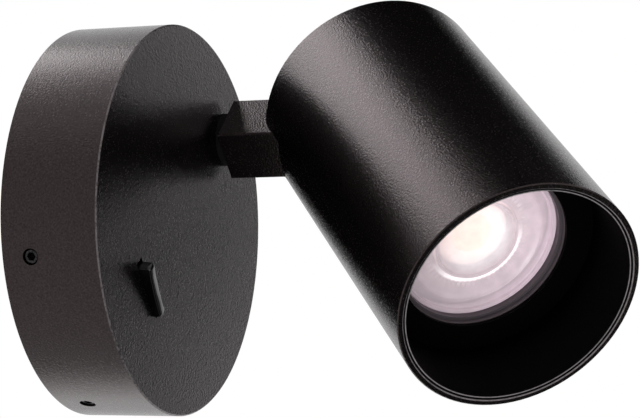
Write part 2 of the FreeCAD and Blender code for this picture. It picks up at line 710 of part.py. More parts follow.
def make_grub_screws():
    """Two socket screws that bear on the mounting plate's lower tabs."""
    screws = []
    length = z["base_dia"] / 2 - z["grub_inset"] - tab_at
    for side in (-1, 1):
        point = cone(z["grub_dia"] * 0.6, z["grub_dia"], z["grub_dia"] * 0.2)
        shank = cylinder(z["grub_dia"], length - z["grub_dia"] * 0.2 - z["grub_bevel"], 0, 0, z["grub_dia"] * 0.2)
        rim = cone(z["grub_dia"], z["grub_dia"] - z["grub_bevel"] * 2, z["grub_bevel"], 0, 0, length - z["grub_bevel"])
        screw = cut(joined(point, shank, rim), hexagon(z["grub_socket"], length, 0, 0, length * 0.55))
        lying = group([screw])
        angle = math.radians(z["grub_angle"].value * side)
        away = Vector(math.sin(angle), -math.cos(angle), 0)
        turn = Rotation(Vector(0, 0, 1), away)
        foot = away * tab_at.value + Vector(0, 0, z["grub_up"].value)
        lying.Placement = Placement(foot, turn)
        screws.append(lying)
    finish("grub_screws", group(screws), base_frame)


def make_switch():
    """The switch body hangs behind the front wall by two ears. Its trough holds the rocker's pins."""
    body = make_body("switch_body")
    top = base_floor - z["slide_gap"]
    middle = -z["switch_down"]
    case = make_sketch(body, "switch_case", "XY_Plane", top)
    half_length = z["switch_length"] / 2
    half_width = z["switch_width"] / 2
    draw_rectangle(case, -half_length, half_length, middle - half_width, middle + half_width)
    pad(body, case, z["switch_depth"], back=True)
    ears = make_sketch(body, "switch_ears", "XY_Plane", base_floor - z["ear_height"])
    reach = z["ear_reach"] + z["ear_boss"] / 2
    draw_rectangle(ears, -reach, reach, middle - half_width, middle + half_width)
    pad(body, ears, z["ear_thick"], back=True)
    trough = make_sketch(body, "switch_trough", "XY_Plane", z["base_depth"])
    half_cut = z["switch_cut_length"] / 2
    cut_width = z["switch_cut_width"] / 2
    draw_rectangle(trough, -half_cut, half_cut, middle - cut_width, middle + cut_width)
    pocket(body, trough, z["rocker_pivot"] * 2)
    well = make_sketch(body, "switch_well", "XY_Plane", z["base_depth"])
    draw_rectangle(well, -z["rocker_pin"] * 1.6, z["rocker_pin"] * 1.6, middle - cut_width, middle + cut_width)
    pocket(body, well, z["rocker_pivot"] * 2.8)
    pins = make_sketch(body, "switch_pin_holes", "XZ_Plane", -(middle - z["switch_cut_width"] / 2 - z["rocker_pin_reach"]))
    draw_circle(pins, z["rocker_pin"] + z["bearing_gap"] * 2, 0, z["base_depth"] - z["rocker_pivot"])
    pocket(body, pins, z["switch_cut_width"] + z["rocker_pin_reach"] * 2)
    holes = make_sketch(body, "ear_holes", "XY_Plane", 0)
    for side in (-1, 1):
        draw_circle(holes, z["small_screw"] + z["seat_gap"] * 4, z["ear_reach"] * side, middle)
    pocket(body, holes, back=True)
    finish("switch_body", body, base_frame)


def make_rocker():
    """The rocker blade, drawn at mid travel about its pivot, with the two pins that carry it."""
    body = make_body("switch_rocker")
    half = z["rocker_length"] / 2
    width = z["switch_cut_width"] - z["rocker_gap"] * 2
    side = make_sketch(body, "rocker_side", "XZ_Plane")
    top = z["rocker_proud"] + z["rocker_pivot"]
    low = -z["rocker_pin"] * 0.3
    draw_outline(side, [
        (-half, low), (-z["rocker_pin"] * 1.2, -z["rocker_pin"]), (z["rocker_pin"] * 1.2, -z["rocker_pin"]),
        (half, low), (half, top), (0, top - z["rocker_dip"]), (-half, top),
    ])
    blade = pad(body, side, width, middle=True)
    pins = make_sketch(body, "rocker_pins", "XZ_Plane")
    draw_circle(pins, z["rocker_pin"])
    blade = pad(body, pins, width + z["rocker_gap"] * 2 + z["rocker_pin_reach"] * 2 - z["slide_gap"] * 2, middle=True)
    half_value = half.value

    def end_edge(edge):
        box = edge.BoundBox
        return abs(abs(box.Center.x) - half_value) < 0.01 and box.ZMin > top.value - 0.01

    fillet(body, blade, z["rocker_round"], end_edge)
    place = Placement(Vector(0, -z["switch_down"].value, (z["base_depth"] - z["rocker_pivot"]).value),
                      Rotation(Vector(0, 1, 0), z["rocker_rest"].value))
    finish("switch_rocker", body, base_frame * place)


def make_switch_metal():
    seat = base_floor - z["ear_height"] - z["ear_thick"]
    screws = []
    for side in (-1, 1):
        stem = cylinder(z["small_screw"], z["ear_thick"] + z["ear_height"] - z["seat_gap"] * 4,
                        z["ear_reach"] * side, -z["switch_down"], seat)
        head = cylinder(z["small_head"], z["small_head_thick"], z["ear_reach"] * side, -z["switch_down"],
                        seat - z["small_head_thick"])
        recess = block(z["small_head"] * 0.6, z["small_head"] * 0.14, z["small_head_thick"] / 2,
                       z["ear_reach"] * side, -z["switch_down"], seat - z["small_head_thick"])
        screws.append(cut(joined(stem, head), recess))
    finish("switch_screws", group(screws), base_frame)
    foot = base_floor - z["slide_gap"] - z["switch_depth"]
    tags = [block(z["tag_width"], z["tag_thick"], z["tag_length"], z["switch_length"] / 4 * side,
                  -z["switch_down"], foot - z["tag_length"]) for side in (-1, 1)]
    finish("switch_tags", group(tags), base_frame)


# ---------- the arm ----------

def make_arm_bar():
    """A square tube with a solid end at the base. Its other end is rounded about the tilt pivot."""
    body = make_body("arm_bar")
    half = z["arm_side"] / 2
    start = z["base_depth"] + z["arm_gap"]
    outline = make_sketch(body, "arm_outline", "YZ_Plane")
    draw_round_end(outline, -half, half, start, pivot_out)
    bar = pad(body, outline, z["arm_side"], middle=True)
    flat = half.value

    def side_edge(edge):
        box = edge.BoundBox
        return box.XLength < 0.01 and abs(abs(box.XMin) - flat) < 0.01

    fillet(body, bar, z["arm_edge"], side_edge)
    inside = make_sketch(body, "arm_hollow", "XY_Plane", start + z["arm_root"])
    clear = half - z["arm_wall"]
    draw_rectangle(inside, -clear, clear, -clear, clear)
    pocket(body, inside, back=True)
    root = make_sketch(body, "stud_hole", "XY_Plane", z["base_depth"])
    draw_circle(root, z["stud_dia"] + z["seat_gap"] * 2)
    pocket(body, root, z["arm_gap"] + z["arm_root"] + z["arm_wall"], back=True)
    bolt = make_sketch(body, "pivot_hole", "YZ_Plane")
    draw_circle(bolt, z["pivot_dia"] + z["bearing_gap"] * 2, 0, pivot_out)
    pocket(body, bolt, middle=True)
    finish("arm_bar", body, swivel_frame)


def make_swivel():
    """The stack on the arm's stud, from the arm inwards through the base's front wall to the nut."""
    face = z["base_depth"]
    hole = z["stud_dia"] + z["seat_gap"] * 2
    finish("arm_face_washer", ring(z["washer_dia"], hole, z["arm_gap"] - z["slide_gap"], face + z["slide_gap"]),
           swivel_frame)
    slide = base_floor - z["slide_gap"] - z["slide_washer"]
    finish("arm_slide_washer", ring(z["washer_dia"], hole, z["slide_washer"], slide), swivel_frame)
    stop = slide - z["stop_washer"]
    tab = block(z["stop_tab"], z["stop_reach"], z["stop_washer"], 0, z["stop_reach"] / 2, stop)
    disc = joined(cylinder(z["washer_dia"], z["stop_washer"], 0, 0, stop), tab)
    bore = cylinder(hole, z["stop_washer"] * 3, 0, 0, stop - z["stop_washer"])
    finish("arm_stop_washer", cut(disc, bore), swivel_frame)
    spring = stop - z["spring_thick"] - z["spring_rise"]
    dish = dished_washer(z["washer_dia"], hole, z["spring_thick"], z["spring_rise"], spring)
    finish("arm_spring_washer", dish, swivel_frame)
    nut_at = spring - z["stud_nut_thick"]
    nut = cut(hexagon(z["stud_nut_flats"], z["stud_nut_thick"], 0, 0, nut_at),
              cylinder(hole, z["stud_nut_thick"] * 3, 0, 0, nut_at - z["stud_nut_thick"]))
    finish("arm_nut", nut, swivel_frame)
    foot = nut_at - z["stud_tail"]
    length = face + z["arm_gap"] + z["arm_root"] - foot
    stud = cut(cylinder(z["stud_dia"], length, 0, 0, foot), cylinder(z["stud_bore"], length * 3, 0, 0, foot - length))
    finish("arm_stud", stud, swivel_frame)
    reach = pivot_out - z["pivot_dia"] / 2 - z["arm_wall"] - foot
    cable = cylinder(z["cable_dia"], reach + z["stud_tail"], 0, 0, foot - z["stud_tail"])
    finish("arm_cable", group([cable]), swivel_frame)


# ---------- the head ----------

slot_width = z["arm_side"] + z["slot_gap"] * 2
tube_inner = z["head_dia"] / 2 - z["head_wall"]
cheek_at = z["arm_side"] / 2 + z["slide_gap"] + z["friction_thick"]
slot_low = z["arm_side"] / 2 + z["slot_gap"] - z["pivot_offset"]


def make_head_tube():
    body = make_body("head_tube")
    circle = make_sketch(body, "tube_section")
    draw_circle(circle, z["head_dia"])
    draw_circle(circle, tube_inner * 2)
    tube = pad(body, circle, z["head_length"])
    ends = chamfer(body, tube, z["head_bevel"], lambda edge: edge.Closed)
    opening = make_sketch(body, "arm_slot", "XZ_Plane")
    draw_rectangle(opening, -slot_width / 2, slot_width / 2, -z["head_wall"], z["slot_reach"])
    slot = pocket(body, opening, back=True)
    reach = z["slot_reach"].value

    def slot_corner(edge):
        box = edge.BoundBox
        return box.ZLength < 0.01 and box.XLength < 0.01 and abs(box.ZMin - reach) < 0.01

    fillet(body, slot, z["slot_corner"], slot_corner)
    finish("head_tube", body, head_frame)


def make_rear_cap():
    body = make_body("rear_cap")
    disc = make_sketch(body, "cap_disc")
    draw_circle(disc, (tube_inner - z["seat_gap"]) * 2)
    pad(body, disc, z["cap_thick"])
    opening = make_sketch(body, "cap_slot")
    draw_rectangle(opening, -slot_width / 2, slot_width / 2, -z["head_dia"], slot_low)
    pocket(body, opening, back=True)
    threads = make_sketch(body, "cap_threads", "XY_Plane", z["cap_thick"])
    for side in (-1, 1):
        draw_circle(threads, z["small_screw"] + z["seat_gap"] * 2, z["foot_screws"] / 2 * side, z["pivot_foot_at"])
        draw_circle(threads, z["small_screw"] + z["seat_gap"] * 2, z["foot_screws"] / 2 * side, z["leg_foot_at"])
    pocket(body, threads, z["cap_thick"] - z["cap_skin"])
    finish("rear_cap", body, head_frame)


def make_glare_baffle():
    """A thin sleeve pushed in from the mouth. Its inner end is a ring that hides the lamp's rim."""
    body = make_body("glare_baffle")
    outer = tube_inner - z["seat_gap"]
    inner = outer - z["baffle_wall"]
    top = z["head_length"] - z["baffle_inset"]
    ring_top = ring_low + z["baffle_ring"]
    profile = make_sketch(body, "baffle_profile", "XZ_Plane")
    draw_outline(profile, [
        (z["aperture_dia"] / 2, ring_low), (outer, ring_low), (outer, top), (inner, top), (inner, ring_top),
        (z["aperture_dia"] / 2, ring_top),
    ])
    revolve(body, profile)
    finish("glare_baffle", body, head_frame)


def make_pivot_bracket():
    """A steel bracket: its foot is screwed to the cap round the slot, and its two cheeks hold the tilt bolt."""
    body = make_body("pivot_bracket")
    foot = make_sketch(body, "pivot_foot", "XY_Plane", z["cap_thick"])
    out = cheek_at + z["sheet_thick"]
    far = -(z["pivot_offset"] + z["cheek_round"])
    draw_outline(foot, [
        (-out, z["bracket_foot"]), (-out, far), (-cheek_at, far), (-cheek_at, slot_low), (cheek_at, slot_low),
        (cheek_at, far), (out, far), (out, z["bracket_foot"]),
    ])
    pad(body, foot, z["sheet_thick"])
    cheek = make_sketch(body, "pivot_cheek", "YZ_Plane", cheek_at)
    draw_round_end(cheek, -z["pivot_offset"] - z["cheek_round"], z["cheek_round"] - z["pivot_offset"],
                   z["cap_thick"], z["pivot_setback"])
    first = pad(body, cheek, z["sheet_thick"])
    mirror(body, [first])
    bolt = make_sketch(body, "cheek_holes", "YZ_Plane")
    draw_circle(bolt, z["pivot_dia"] + z["seat_gap"] * 2, -z["pivot_offset"], z["pivot_setback"])
    pocket(body, bolt, middle=True)
    screws = make_sketch(body, "foot_holes", "XY_Plane", 0)
    for side in (-1, 1):
        draw_circle(screws, z["small_screw"] + z["seat_gap"] * 2, z["foot_screws"] / 2 * side, z["pivot_foot_at"])
    pocket(body, screws, back=True)
    finish("pivot_bracket", body, head_frame)


def make_pivot():
    """The tilt bolt's stack: head, cheeks, friction washers, spring washer and lock nut."""
    outside = cheek_at + z["sheet_thick"]
    hole = z["pivot_dia"] + z["seat_gap"] * 2
    grip = outside * 2 + z["pivot_spring"] + z["pivot_nut_thick"] + z["pivot_tail"]
    shank = cylinder(z["pivot_dia"], grip, 0, 0, -outside)
    head = cylinder(z["pivot_head_dia"], z["pivot_head_thick"], 0, 0, -outside - z["pivot_head_thick"])
    socket = hexagon(z["pivot_socket"], z["pivot_head_thick"] * 0.6, 0, 0, -outside - z["pivot_head_thick"])
    finish("pivot_bolt", cut(joined(shank, head), socket), bolt_frame)
    washers = [ring(z["friction_dia"], hole, z["friction_thick"], cheek_at - z["friction_thick"]),
               ring(z["friction_dia"], hole, z["friction_thick"], -cheek_at)]
    finish("friction_washers", group(washers), bolt_frame)
    plate = z["pivot_spring"] / 2
    finish("pivot_spring_washer", dished_washer(z["pivot_spring_dia"], hole, plate, plate, outside), bolt_frame)
    seat = outside + z["pivot_spring"]
    nut = cut(hexagon(z["pivot_nut_flats"], z["pivot_nut_thick"], 0, 0, seat),
              cylinder(hole, z["pivot_nut_thick"] * 3, 0, 0, seat - z["pivot_nut_thick"]))
    finish("pivot_nut", nut, bolt_frame)


# The arm's round end stays below the lampholder, and the lamp and the baffle's ring stand on from there.
socket_foot = z["pivot_setback"] + z["arm_side"] / 2
lamp_foot = socket_foot + z["socket_height"] + z["slide_gap"] * 2
rim_top = lamp_foot + z["lamp_length"]
ring_low = rim_top + z["lamp_gap"]
leg_low = z["socket_width"] / 2 + z["leg_gap"]


def make_holder_bracket():
    """A bent strap: a foot on the cap, a leg up past the pivot, and a shelf that carries the lampholder."""
    body = make_body("holder_bracket")
    sheet = z["sheet_thick"]
    low = z["cap_thick"]
    side = make_sketch(body, "strap_side", "YZ_Plane")
    end = z["leg_foot_at"] + z["small_head"]
    draw_outline(side, [
        (leg_low, low), (end, low), (end, low + sheet), (leg_low + sheet, low + sheet),
        (leg_low + sheet, socket_foot), (-z["shelf_reach"], socket_foot), (-z["shelf_reach"], socket_foot - sheet),
        (leg_low, socket_foot - sheet),
    ])
    pad(body, side, z["socket_length"] - z["leg_gap"] * 4, middle=True)
    holes = make_sketch(body, "strap_holes", "XY_Plane", 0)
    for way in (-1, 1):
        draw_circle(holes, z["small_screw"] + z["seat_gap"] * 2, z["foot_screws"] / 2 * way, z["leg_foot_at"])
        draw_circle(holes, z["small_screw"] + z["seat_gap"] * 2, z["socket_screws"] / 2 * way, 0)
    draw_circle(holes, z["lead_hole"], 0, 0)
    pocket(body, holes, back=True)
    finish("holder_bracket", body, head_frame)


def make_head_screws():
    """Two screws in each bracket's foot, and two that hold the lampholder to its shelf."""
    seat = z["cap_thick"] + z["sheet_thick"]
    grip = seat - z["cap_skin"] - z["seat_gap"] * 2
    feet = [pan_screw(z["foot_screws"] / 2 * side, up, seat, grip, z["small_screw"], z["small_head"],
                      z["small_head_thick"])
            for side in (-1, 1) for up in (z["pivot_foot_at"], z["leg_foot_at"])]
    finish("bracket_screws", group(feet), head_frame)
    top = socket_foot + z["socket_height"] - z["small_head_thick"] * 1.5
    held = [pan_screw(z["socket_screws"] / 2 * side, 0, top, top - socket_foot + z["sheet_thick"], z["small_screw"],
                      z["small_head"], z["small_head_thick"]) for side in (-1, 1)]
    finish("holder_screws", group(held), head_frame)


def make_lampholder():
    """A ceramic block. Each pin goes in at the wide end of a keyhole and turns to the narrow end, which holds it."""
    body = make_body("lampholder")
    base = make_sketch(body, "holder_block", "XY_Plane", socket_foot)
    half_length = z["socket_length"] / 2
    half_width = z["socket_width"] / 2
    draw_rectangle(base, -half_length, half_length, -half_width, half_width)
    solid = pad(body, base, z["socket_height"])

    def corner(edge):
        box = edge.BoundBox
        return box.XLength < 0.01 and box.YLength < 0.01

    fillet(body, solid, z["socket_corner"], corner)
    top = socket_foot + z["socket_height"]
    roof = top - z["socket_roof"]
    floor = top - z["pin_length"] - z["socket_roof"] / 2
    path = z["pin_pitch"] / 2
    narrow = make_sketch(body, "keyhole_neck", "XY_Plane", top)
    draw_arc_slot(narrow, path, z["pin_neck"] + z["pin_play"] * 2, z["twist_lock"])
    room = make_sketch(body, "keyhole_room", "XY_Plane", roof)
    draw_arc_slot(room, path, z["pin_head"] + z["pin_play"] * 3, z["twist_lock"])
    features = [pocket(body, narrow, z["socket_roof"]), pocket(body, room, roof - floor)]
    entry = make_sketch(body, "keyhole_entry", "XY_Plane", top)
    draw_circle(entry, z["pin_head"] + z["pin_play"] * 2, z["pin_pitch"] / 2 * cosine(z["twist_lock"]),
                z["pin_pitch"] / 2 * sine(z["twist_lock"]))
    features.append(pocket(body, entry, z["socket_roof"]))
    pattern = body.newObject("PartDesign::PolarPattern", "keyhole_pair")
    pattern.Originals = features
    pattern.Axis = (origin_plane(body, "Z_Axis"), [""])
    pattern.Angle = 360
    pattern.Occurrences = 2
    body.Tip = pattern
    screws = make_sketch(body, "holder_screw_holes", "XY_Plane", top)
    sinks = make_sketch(body, "holder_screw_sinks", "XY_Plane", top)
    for side in (-1, 1):
        draw_circle(screws, z["small_screw"] + z["seat_gap"] * 2, z["socket_screws"] / 2 * side, 0)
        draw_circle(sinks, z["small_head"] + z["seat_gap"] * 4, z["socket_screws"] / 2 * side, 0)
    pocket(body, sinks, z["small_head_thick"] * 1.5)
    pocket(body, screws)
    finish("lampholder", body, head_frame)


def make_contacts():
    """A brass spring leaf under each pin."""
    top = socket_foot + z["socket_height"]
    floor = top - z["pin_length"] - z["socket_roof"] / 2
    leaves = [block(z["pin_head"] * 0.8, z["pin_head"] * 0.6, z["socket_roof"] / 2 - z["slide_gap"] * 3,
                    z["pin_pitch"] / 2 * side, 0, floor) for side in (-1, 1)]
    finish("holder_contacts", group(leaves), head_frame)


# ---------- the lamp ----------

lens_top = rim_top - z["lens_inset"]
lens_low = lens_top - z["lens_thick"]
base_top = lamp_foot + z["lamp_base_rise"]


def make_lamp_body():
    """The lamp's white shell: a narrow neck that flares to the rim, with a seat for the lens."""
    body = make_body("lamp_body")
    rim = z["lamp_dia"] / 2
    lens = z["lens_dia"] / 2 + z["seat_gap"]
    neck = z["lamp_neck"] / 2
    floor = lens_low - z["led_thick"]
    height = rim_top - base_top
    profile = make_sketch(body, "shell_profile", "XZ_Plane")
    draw_outline(profile, [
        (0, base_top), (neck, base_top), (neck + (rim - neck) * 0.18, base_top + height * 0.2),
        (neck + (rim - neck) * 0.62, base_top + height * 0.5), (rim, rim_top - z["rim_height"]), (rim, rim_top),
        (lens + z["rim_step"], rim_top), (lens + z["rim_step"], lens_top + z["lens_inset"] / 2),
        (lens, lens_top + z["lens_inset"] / 2), (lens, lens_low), (z["led_dia"] / 2 + z["seat_gap"], lens_low),
        (z["led_dia"] / 2 + z["seat_gap"], floor), (0, floor),
    ])
    revolve(body, profile)
    finish("lamp_body", body, head_frame)


def make_lens():
    """A clear moulded lens: a shallow dome in the middle inside rings that step down and up again."""
    body = make_body("lamp_lens")
    radius = z["lens_dia"] / 2
    dome = z["led_dia"] / 2
    step = z["lens_step"]
    profile = make_sketch(body, "lens_profile", "XZ_Plane")
    draw_outline(profile, [
        (0, lens_low), (radius, lens_low), (radius, lens_top), (radius - step, lens_top),
        (radius - step * 2, lens_top - step / 2), (dome + step * 3, lens_top - step / 2),
        (dome + step * 2, lens_top - step), (dome + step, lens_top - step), (dome, lens_top - step / 2),
        (dome / 2, lens_top - step / 4), (0, lens_top - step / 4),
    ])
    revolve(body, profile)
    finish("lamp_lens", body, head_frame)


def make_lamp_metal():
    led = cylinder(z["led_dia"], z["led_thick"], 0, 0, lens_low - z["led_thick"])
    finish("light_source", group([led]), head_frame)
    foot = cone(z["lamp_base_dia"], z["lamp_neck"], z["lamp_base_rise"], 0, 0, lamp_foot)
    sockets = [cylinder(z["pin_neck"] + z["seat_gap"] * 2, z["lamp_base_rise"] / 2, z["pin_pitch"] / 2 * side, 0,
                        lamp_foot) for side in (-1, 1)]
    finish("lamp_base", cut(foot, *sockets), head_frame)
    pins = []
    for side in (-1, 1):
        across = z["pin_pitch"] / 2 * side
        head = cylinder(z["pin_head"], z["pin_head_rise"], across, 0, lamp_foot - z["pin_length"])
        neck = cylinder(z["pin_neck"], z["pin_length"] + z["lamp_base_rise"] / 2 - z["seat_gap"], across, 0,
                        lamp_foot - z["pin_length"])
        pins.append(joined(head, neck))
    finish("lamp_pins", group(pins), head_frame)


# ---------- the whole light ----------

def check_and_write():
    """Stops on any feature that failed and any solid that isn't sound, then writes one file for each node."""
    doc.recompute()
    for item in doc.Objects:
        if "Invalid" in item.State or "Error" in item.State:
            raise RuntimeError(f"{item.Name} failed: {item.State}")
    for node in nodes:
        if node.Shape.isNull() or not node.Shape.isValid():
            raise RuntimeError(f"{node.Label} is not a sound solid")
    os.makedirs("parts", exist_ok=True)
    for node in nodes:
        node.Shape.exportStep(f"parts/{node.Label}.step")
        print(f"{node.Label}: {len(node.Shape.Solids)} solids, {node.Shape.Volume:.1f} cubic mm")


make_canopy()
make_mounting_plate()
make_grommet()
make_terminal_block()
make_terminal_metal()
make_base_screws()
make_grub_screws()
make_switch()
make_rocker()
make_switch_metal()
make_arm_bar()
make_swivel()
make_head_tube()
make_rear_cap()
make_glare_baffle()
make_pivot_bracket()
make_pivot()
make_holder_bracket()
make_head_screws()
make_lampholder()
make_contacts()
make_lamp_body()
make_lens()
make_lamp_metal()
check_and_write()
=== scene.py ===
# %% [markdown]
# # A pivoting spotlight for the wall, in black powder coat
# The light is a round base with a rocker switch in its face, a square arm that turns on the base,
# and a tube head that tilts on the arm and hides a twist-lock lamp deep behind a black baffle.
# The solids come from the CAD model. This lesson dresses them: it gives each one the finish that
# the real piece has, models the few pieces whose detail is too fine for the CAD, and lights the
# whole as a photographer lights a black object, by what its surfaces mirror.

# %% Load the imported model
import bmesh
import bpy
import json
import math
from mathutils import Matrix, Vector


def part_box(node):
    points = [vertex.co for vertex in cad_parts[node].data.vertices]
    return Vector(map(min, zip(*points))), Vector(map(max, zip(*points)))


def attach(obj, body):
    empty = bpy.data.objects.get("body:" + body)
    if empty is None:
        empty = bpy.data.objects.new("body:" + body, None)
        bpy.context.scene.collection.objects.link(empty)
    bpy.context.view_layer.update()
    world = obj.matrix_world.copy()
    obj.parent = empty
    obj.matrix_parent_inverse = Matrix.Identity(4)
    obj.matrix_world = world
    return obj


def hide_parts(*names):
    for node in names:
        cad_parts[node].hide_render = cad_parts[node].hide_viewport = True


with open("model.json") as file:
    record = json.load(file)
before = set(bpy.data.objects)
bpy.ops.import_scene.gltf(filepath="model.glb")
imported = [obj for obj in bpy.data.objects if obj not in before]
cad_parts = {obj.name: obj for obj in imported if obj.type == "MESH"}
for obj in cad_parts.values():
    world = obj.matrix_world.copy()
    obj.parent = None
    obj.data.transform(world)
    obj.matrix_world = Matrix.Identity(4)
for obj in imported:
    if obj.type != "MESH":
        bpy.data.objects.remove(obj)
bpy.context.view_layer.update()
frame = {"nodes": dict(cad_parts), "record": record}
nodes = frame["nodes"]
scene = bpy.context.scene
MM = 0.001

# %% [markdown]
# ## The camera
# A black object is told apart from its background by its outline, so the camera comes first.
# It stands to the left of the light and below it, and looks up past the rim of the base into the
# mouth of the head. It could be placed by eye, but its place was worked out instead, by matching
# the four circles of the base and head to their outlines. The picture is rolled, so the camera is
# given by its own directions and not by a point to look at.

# %% Camera
PICTURE_WIDTH = 640
FOCAL_PIXELS = 2200.0
SENSOR = 36.0
NEAREST, FARTHEST = 0.01, 20.0
CAMERA_AT = (-0.310556, -0.258103, -0.409453)
RIGHT_IN_PICTURE = (0.231381, -0.934460, 0.270644)
UP_IN_PICTURE = (-0.794239, -0.020786, 0.607249)


def place_camera(position, right, up):
    """Puts the camera at a point, by the directions that are right and up in its picture."""
    right, up = Vector(right).normalized(), Vector(up).normalized()
    back = right.cross(up)
    turn = Matrix((right, up, back)).transposed()
    lens = bpy.data.cameras.new("camera")
    lens.sensor_width = SENSOR
    lens.lens = SENSOR * FOCAL_PIXELS / PICTURE_WIDTH
    lens.clip_start = NEAREST
    lens.clip_end = FARTHEST
    camera = bpy.data.objects.new("camera", lens)
    camera.matrix_world = Matrix.Translation(position) @ turn.to_4x4()
    scene.collection.objects.link(camera)
    print("lens", round(lens.lens, 2), "mm, camera at", position)
    return camera


scene.camera = place_camera(CAMERA_AT, RIGHT_IN_PICTURE, UP_IN_PICTURE)
scene.view_settings.view_transform = "Standard"

# %% [markdown]
# ## Helpers for materials
# Every finish is a small tree of nodes round one shader. The first helper makes a material with
# its plain values, which are the same all over the surface and so are set on the shader itself.
# The others find that shader, make a node with its settings, and change the span of a number,
# which is what most trees do most often.


# %% Helpers for materials
def new_finish(name, colour, roughness, **more):
    """A material with its plain values set on the shader's own sockets."""
    material = bpy.data.materials.new(name)
    material.use_nodes = True
    shader = shader_of(material)
    shader.inputs["Base Color"].default_value = (*colour, 1.0)
    shader.inputs["Roughness"].default_value = roughness
    for socket, value in more.items():
        shader.inputs[socket.replace("_", " ")].default_value = value
    return material


def shader_of(material):
    """The shader that every other node of a finish leads to."""
    return material.node_tree.nodes["Principled BSDF"]


def new_node(tree, kind, **settings):
    """A node in a tree, such as "Math" or "Mapping", with its settings."""
    node = tree.nodes.new("ShaderNode" + kind)
    for setting, value in settings.items():
        setattr(node, setting, value)
    return node


def remap(tree, number, span, limits):
    """Turns a number that runs over a span into one that runs between two limits."""
    change = new_node(tree, "MapRange")
    for socket, value in zip(("From Min", "From Max", "To Min", "To Max"), (*span, *limits)):
        change.inputs[socket].default_value = value
    tree.links.new(number, change.inputs["Value"])
    return change.outputs["Result"]


# %% [markdown]
# ## A noise and its three uses
# The finishes need one or two noises each, fixed to the piece by its Object coordinates. Painted
# image textures would be the other way, but they need unwrapped surfaces and are sharp at one
# distance only. A noise has no seams and keeps its real size, because the model is in metres. It
# can vary a number such as the roughness, tint the colour, or emboss the surface.


# %% A noise
def grain(material, size, detail=2.0, stretch=(1.0, 1.0, 1.0)):
    """A noise with lumps of a given size in metres, fixed to the piece."""
    tree = material.node_tree
    where = new_node(tree, "TexCoord")
    mapping = new_node(tree, "Mapping")
    noise = new_node(tree, "TexNoise")
    mapping.inputs["Scale"].default_value = stretch
    noise.inputs["Scale"].default_value = 1.0 / size
    noise.inputs["Detail"].default_value = detail
    tree.links.new(where.outputs["Object"], mapping.inputs["Vector"])
    tree.links.new(mapping.outputs["Vector"], noise.inputs["Vector"])
    return noise.outputs["Fac"]


# %% Its three uses
NOISE_SPAN = (0.3, 0.7)
RAMP_SPAN = (0.32, 0.68)


def vary(material, height, socket, low, high):
    """Lets a number on the shader follow a noise, from low to high."""
    tree = material.node_tree
    tree.links.new(remap(tree, height, NOISE_SPAN, (low, high)), shader_of(material).inputs[socket])


def tint(material, height, low, high):
    """Lets the colour follow a noise, from one colour to another."""
    tree = material.node_tree
    ramp = new_node(tree, "ValToRGB")
    for element, position, colour in zip(ramp.color_ramp.elements, RAMP_SPAN, (low, high)):
        element.position = position
        element.color = (*colour, 1.0)
    tree.links.new(height, ramp.inputs["Fac"])
    tree.links.new(ramp.outputs["Color"], shader_of(material).inputs["Base Color"])


def emboss(material, height, depth):
    """Raises the surface by a noise, to a depth in metres, on top of any bump it has."""
    tree = material.node_tree
    normal = shader_of(material).inputs["Normal"]
    bump = new_node(tree, "Bump")
    bump.inputs["Distance"].default_value = depth
    tree.links.new(height, bump.inputs["Height"])
    if normal.is_linked:
        tree.links.new(normal.links[0].from_socket, bump.inputs["Normal"])
    tree.links.new(bump.outputs["Normal"], normal)


# %% Dressing CAD nodes
def dress(material, *names):
    """Gives CAD nodes a finish."""
    for name in names:
        for slot in nodes[name].material_slots:
            slot.material = material
    print(material.name, "on", ", ".join(names))


# %% [markdown]
# ## Black powder coat
# The base, arm, head tube and rear cap are sprayed with dry powder and baked. The powder melts
# into a tough skin that never flows quite flat, so close up it is pebbled, with lumps about half a
# millimetre across, and its mirror image of the room is soft. The colour is nearly no light at
# all, and what is seen is the sheen, slightly warm, which differs from pebble to pebble. Two noises
# give it: a fine one for the pebbles, and a broad faint one for the slow waves of every baked coat.

# %% Black powder coat
PEBBLE, WAVE = 0.45 * MM, 5.0 * MM
PEBBLE_DEPTH, WAVE_DEPTH = 0.08 * MM, 0.002 * MM

powder_coat = new_finish("black_powder_coat", (0.0011, 0.0009, 0.0009), 0.24,
                         Specular_Tint=(1.0, 0.77, 0.80, 1.0))
pebbles = grain(powder_coat, PEBBLE, detail=1.5)
waves = grain(powder_coat, WAVE, detail=1.0)
tint(powder_coat, waves, (0.0008, 0.0007, 0.0007), (0.0013, 0.0011, 0.0010))
vary(powder_coat, pebbles, "Roughness", 0.20, 0.28)
vary(powder_coat, pebbles, "Specular IOR Level", 0.36, 0.64)
emboss(powder_coat, waves, WAVE_DEPTH)
emboss(powder_coat, pebbles, PEBBLE_DEPTH)
dress(powder_coat, "canopy_housing", "arm_bar", "head_tube", "rear_cap")

# %% [markdown]
# ## The matt black baffle
# The liner of the head is there to be unseen: it swallows stray light, so that no bright rim
# shows beside the beam. A dull paint without sheen does that. A high roughness and a very low
# specular level are all it takes, with a fine tooth so that it isn't dead flat close up.

# %% Matt black baffle
dull_black = new_finish("dull_black_paint", (0.0003, 0.00025, 0.00025), 0.75, Specular_IOR_Level=0.04)
tooth = grain(dull_black, 0.4 * MM, detail=3.0)
vary(dull_black, tooth, "Roughness", 0.55, 0.75)
emboss(dull_black, tooth, 0.01 * MM)
dress(dull_black, "glare_baffle")

# %% [markdown]
# ## Plated steel, blackened steel and brass
# Brackets, nuts and screws are bright zinc over steel. Zinc is grey-blue and cloudy, because its
# crystals catch the light each in its own way: a soft noise in the colour and roughness shows
# them. The grub screws are blackened, and their oxide is uneven. The electrical metal is brass,
# rolled or turned, so its streaks run one way, which a stretched noise gives.

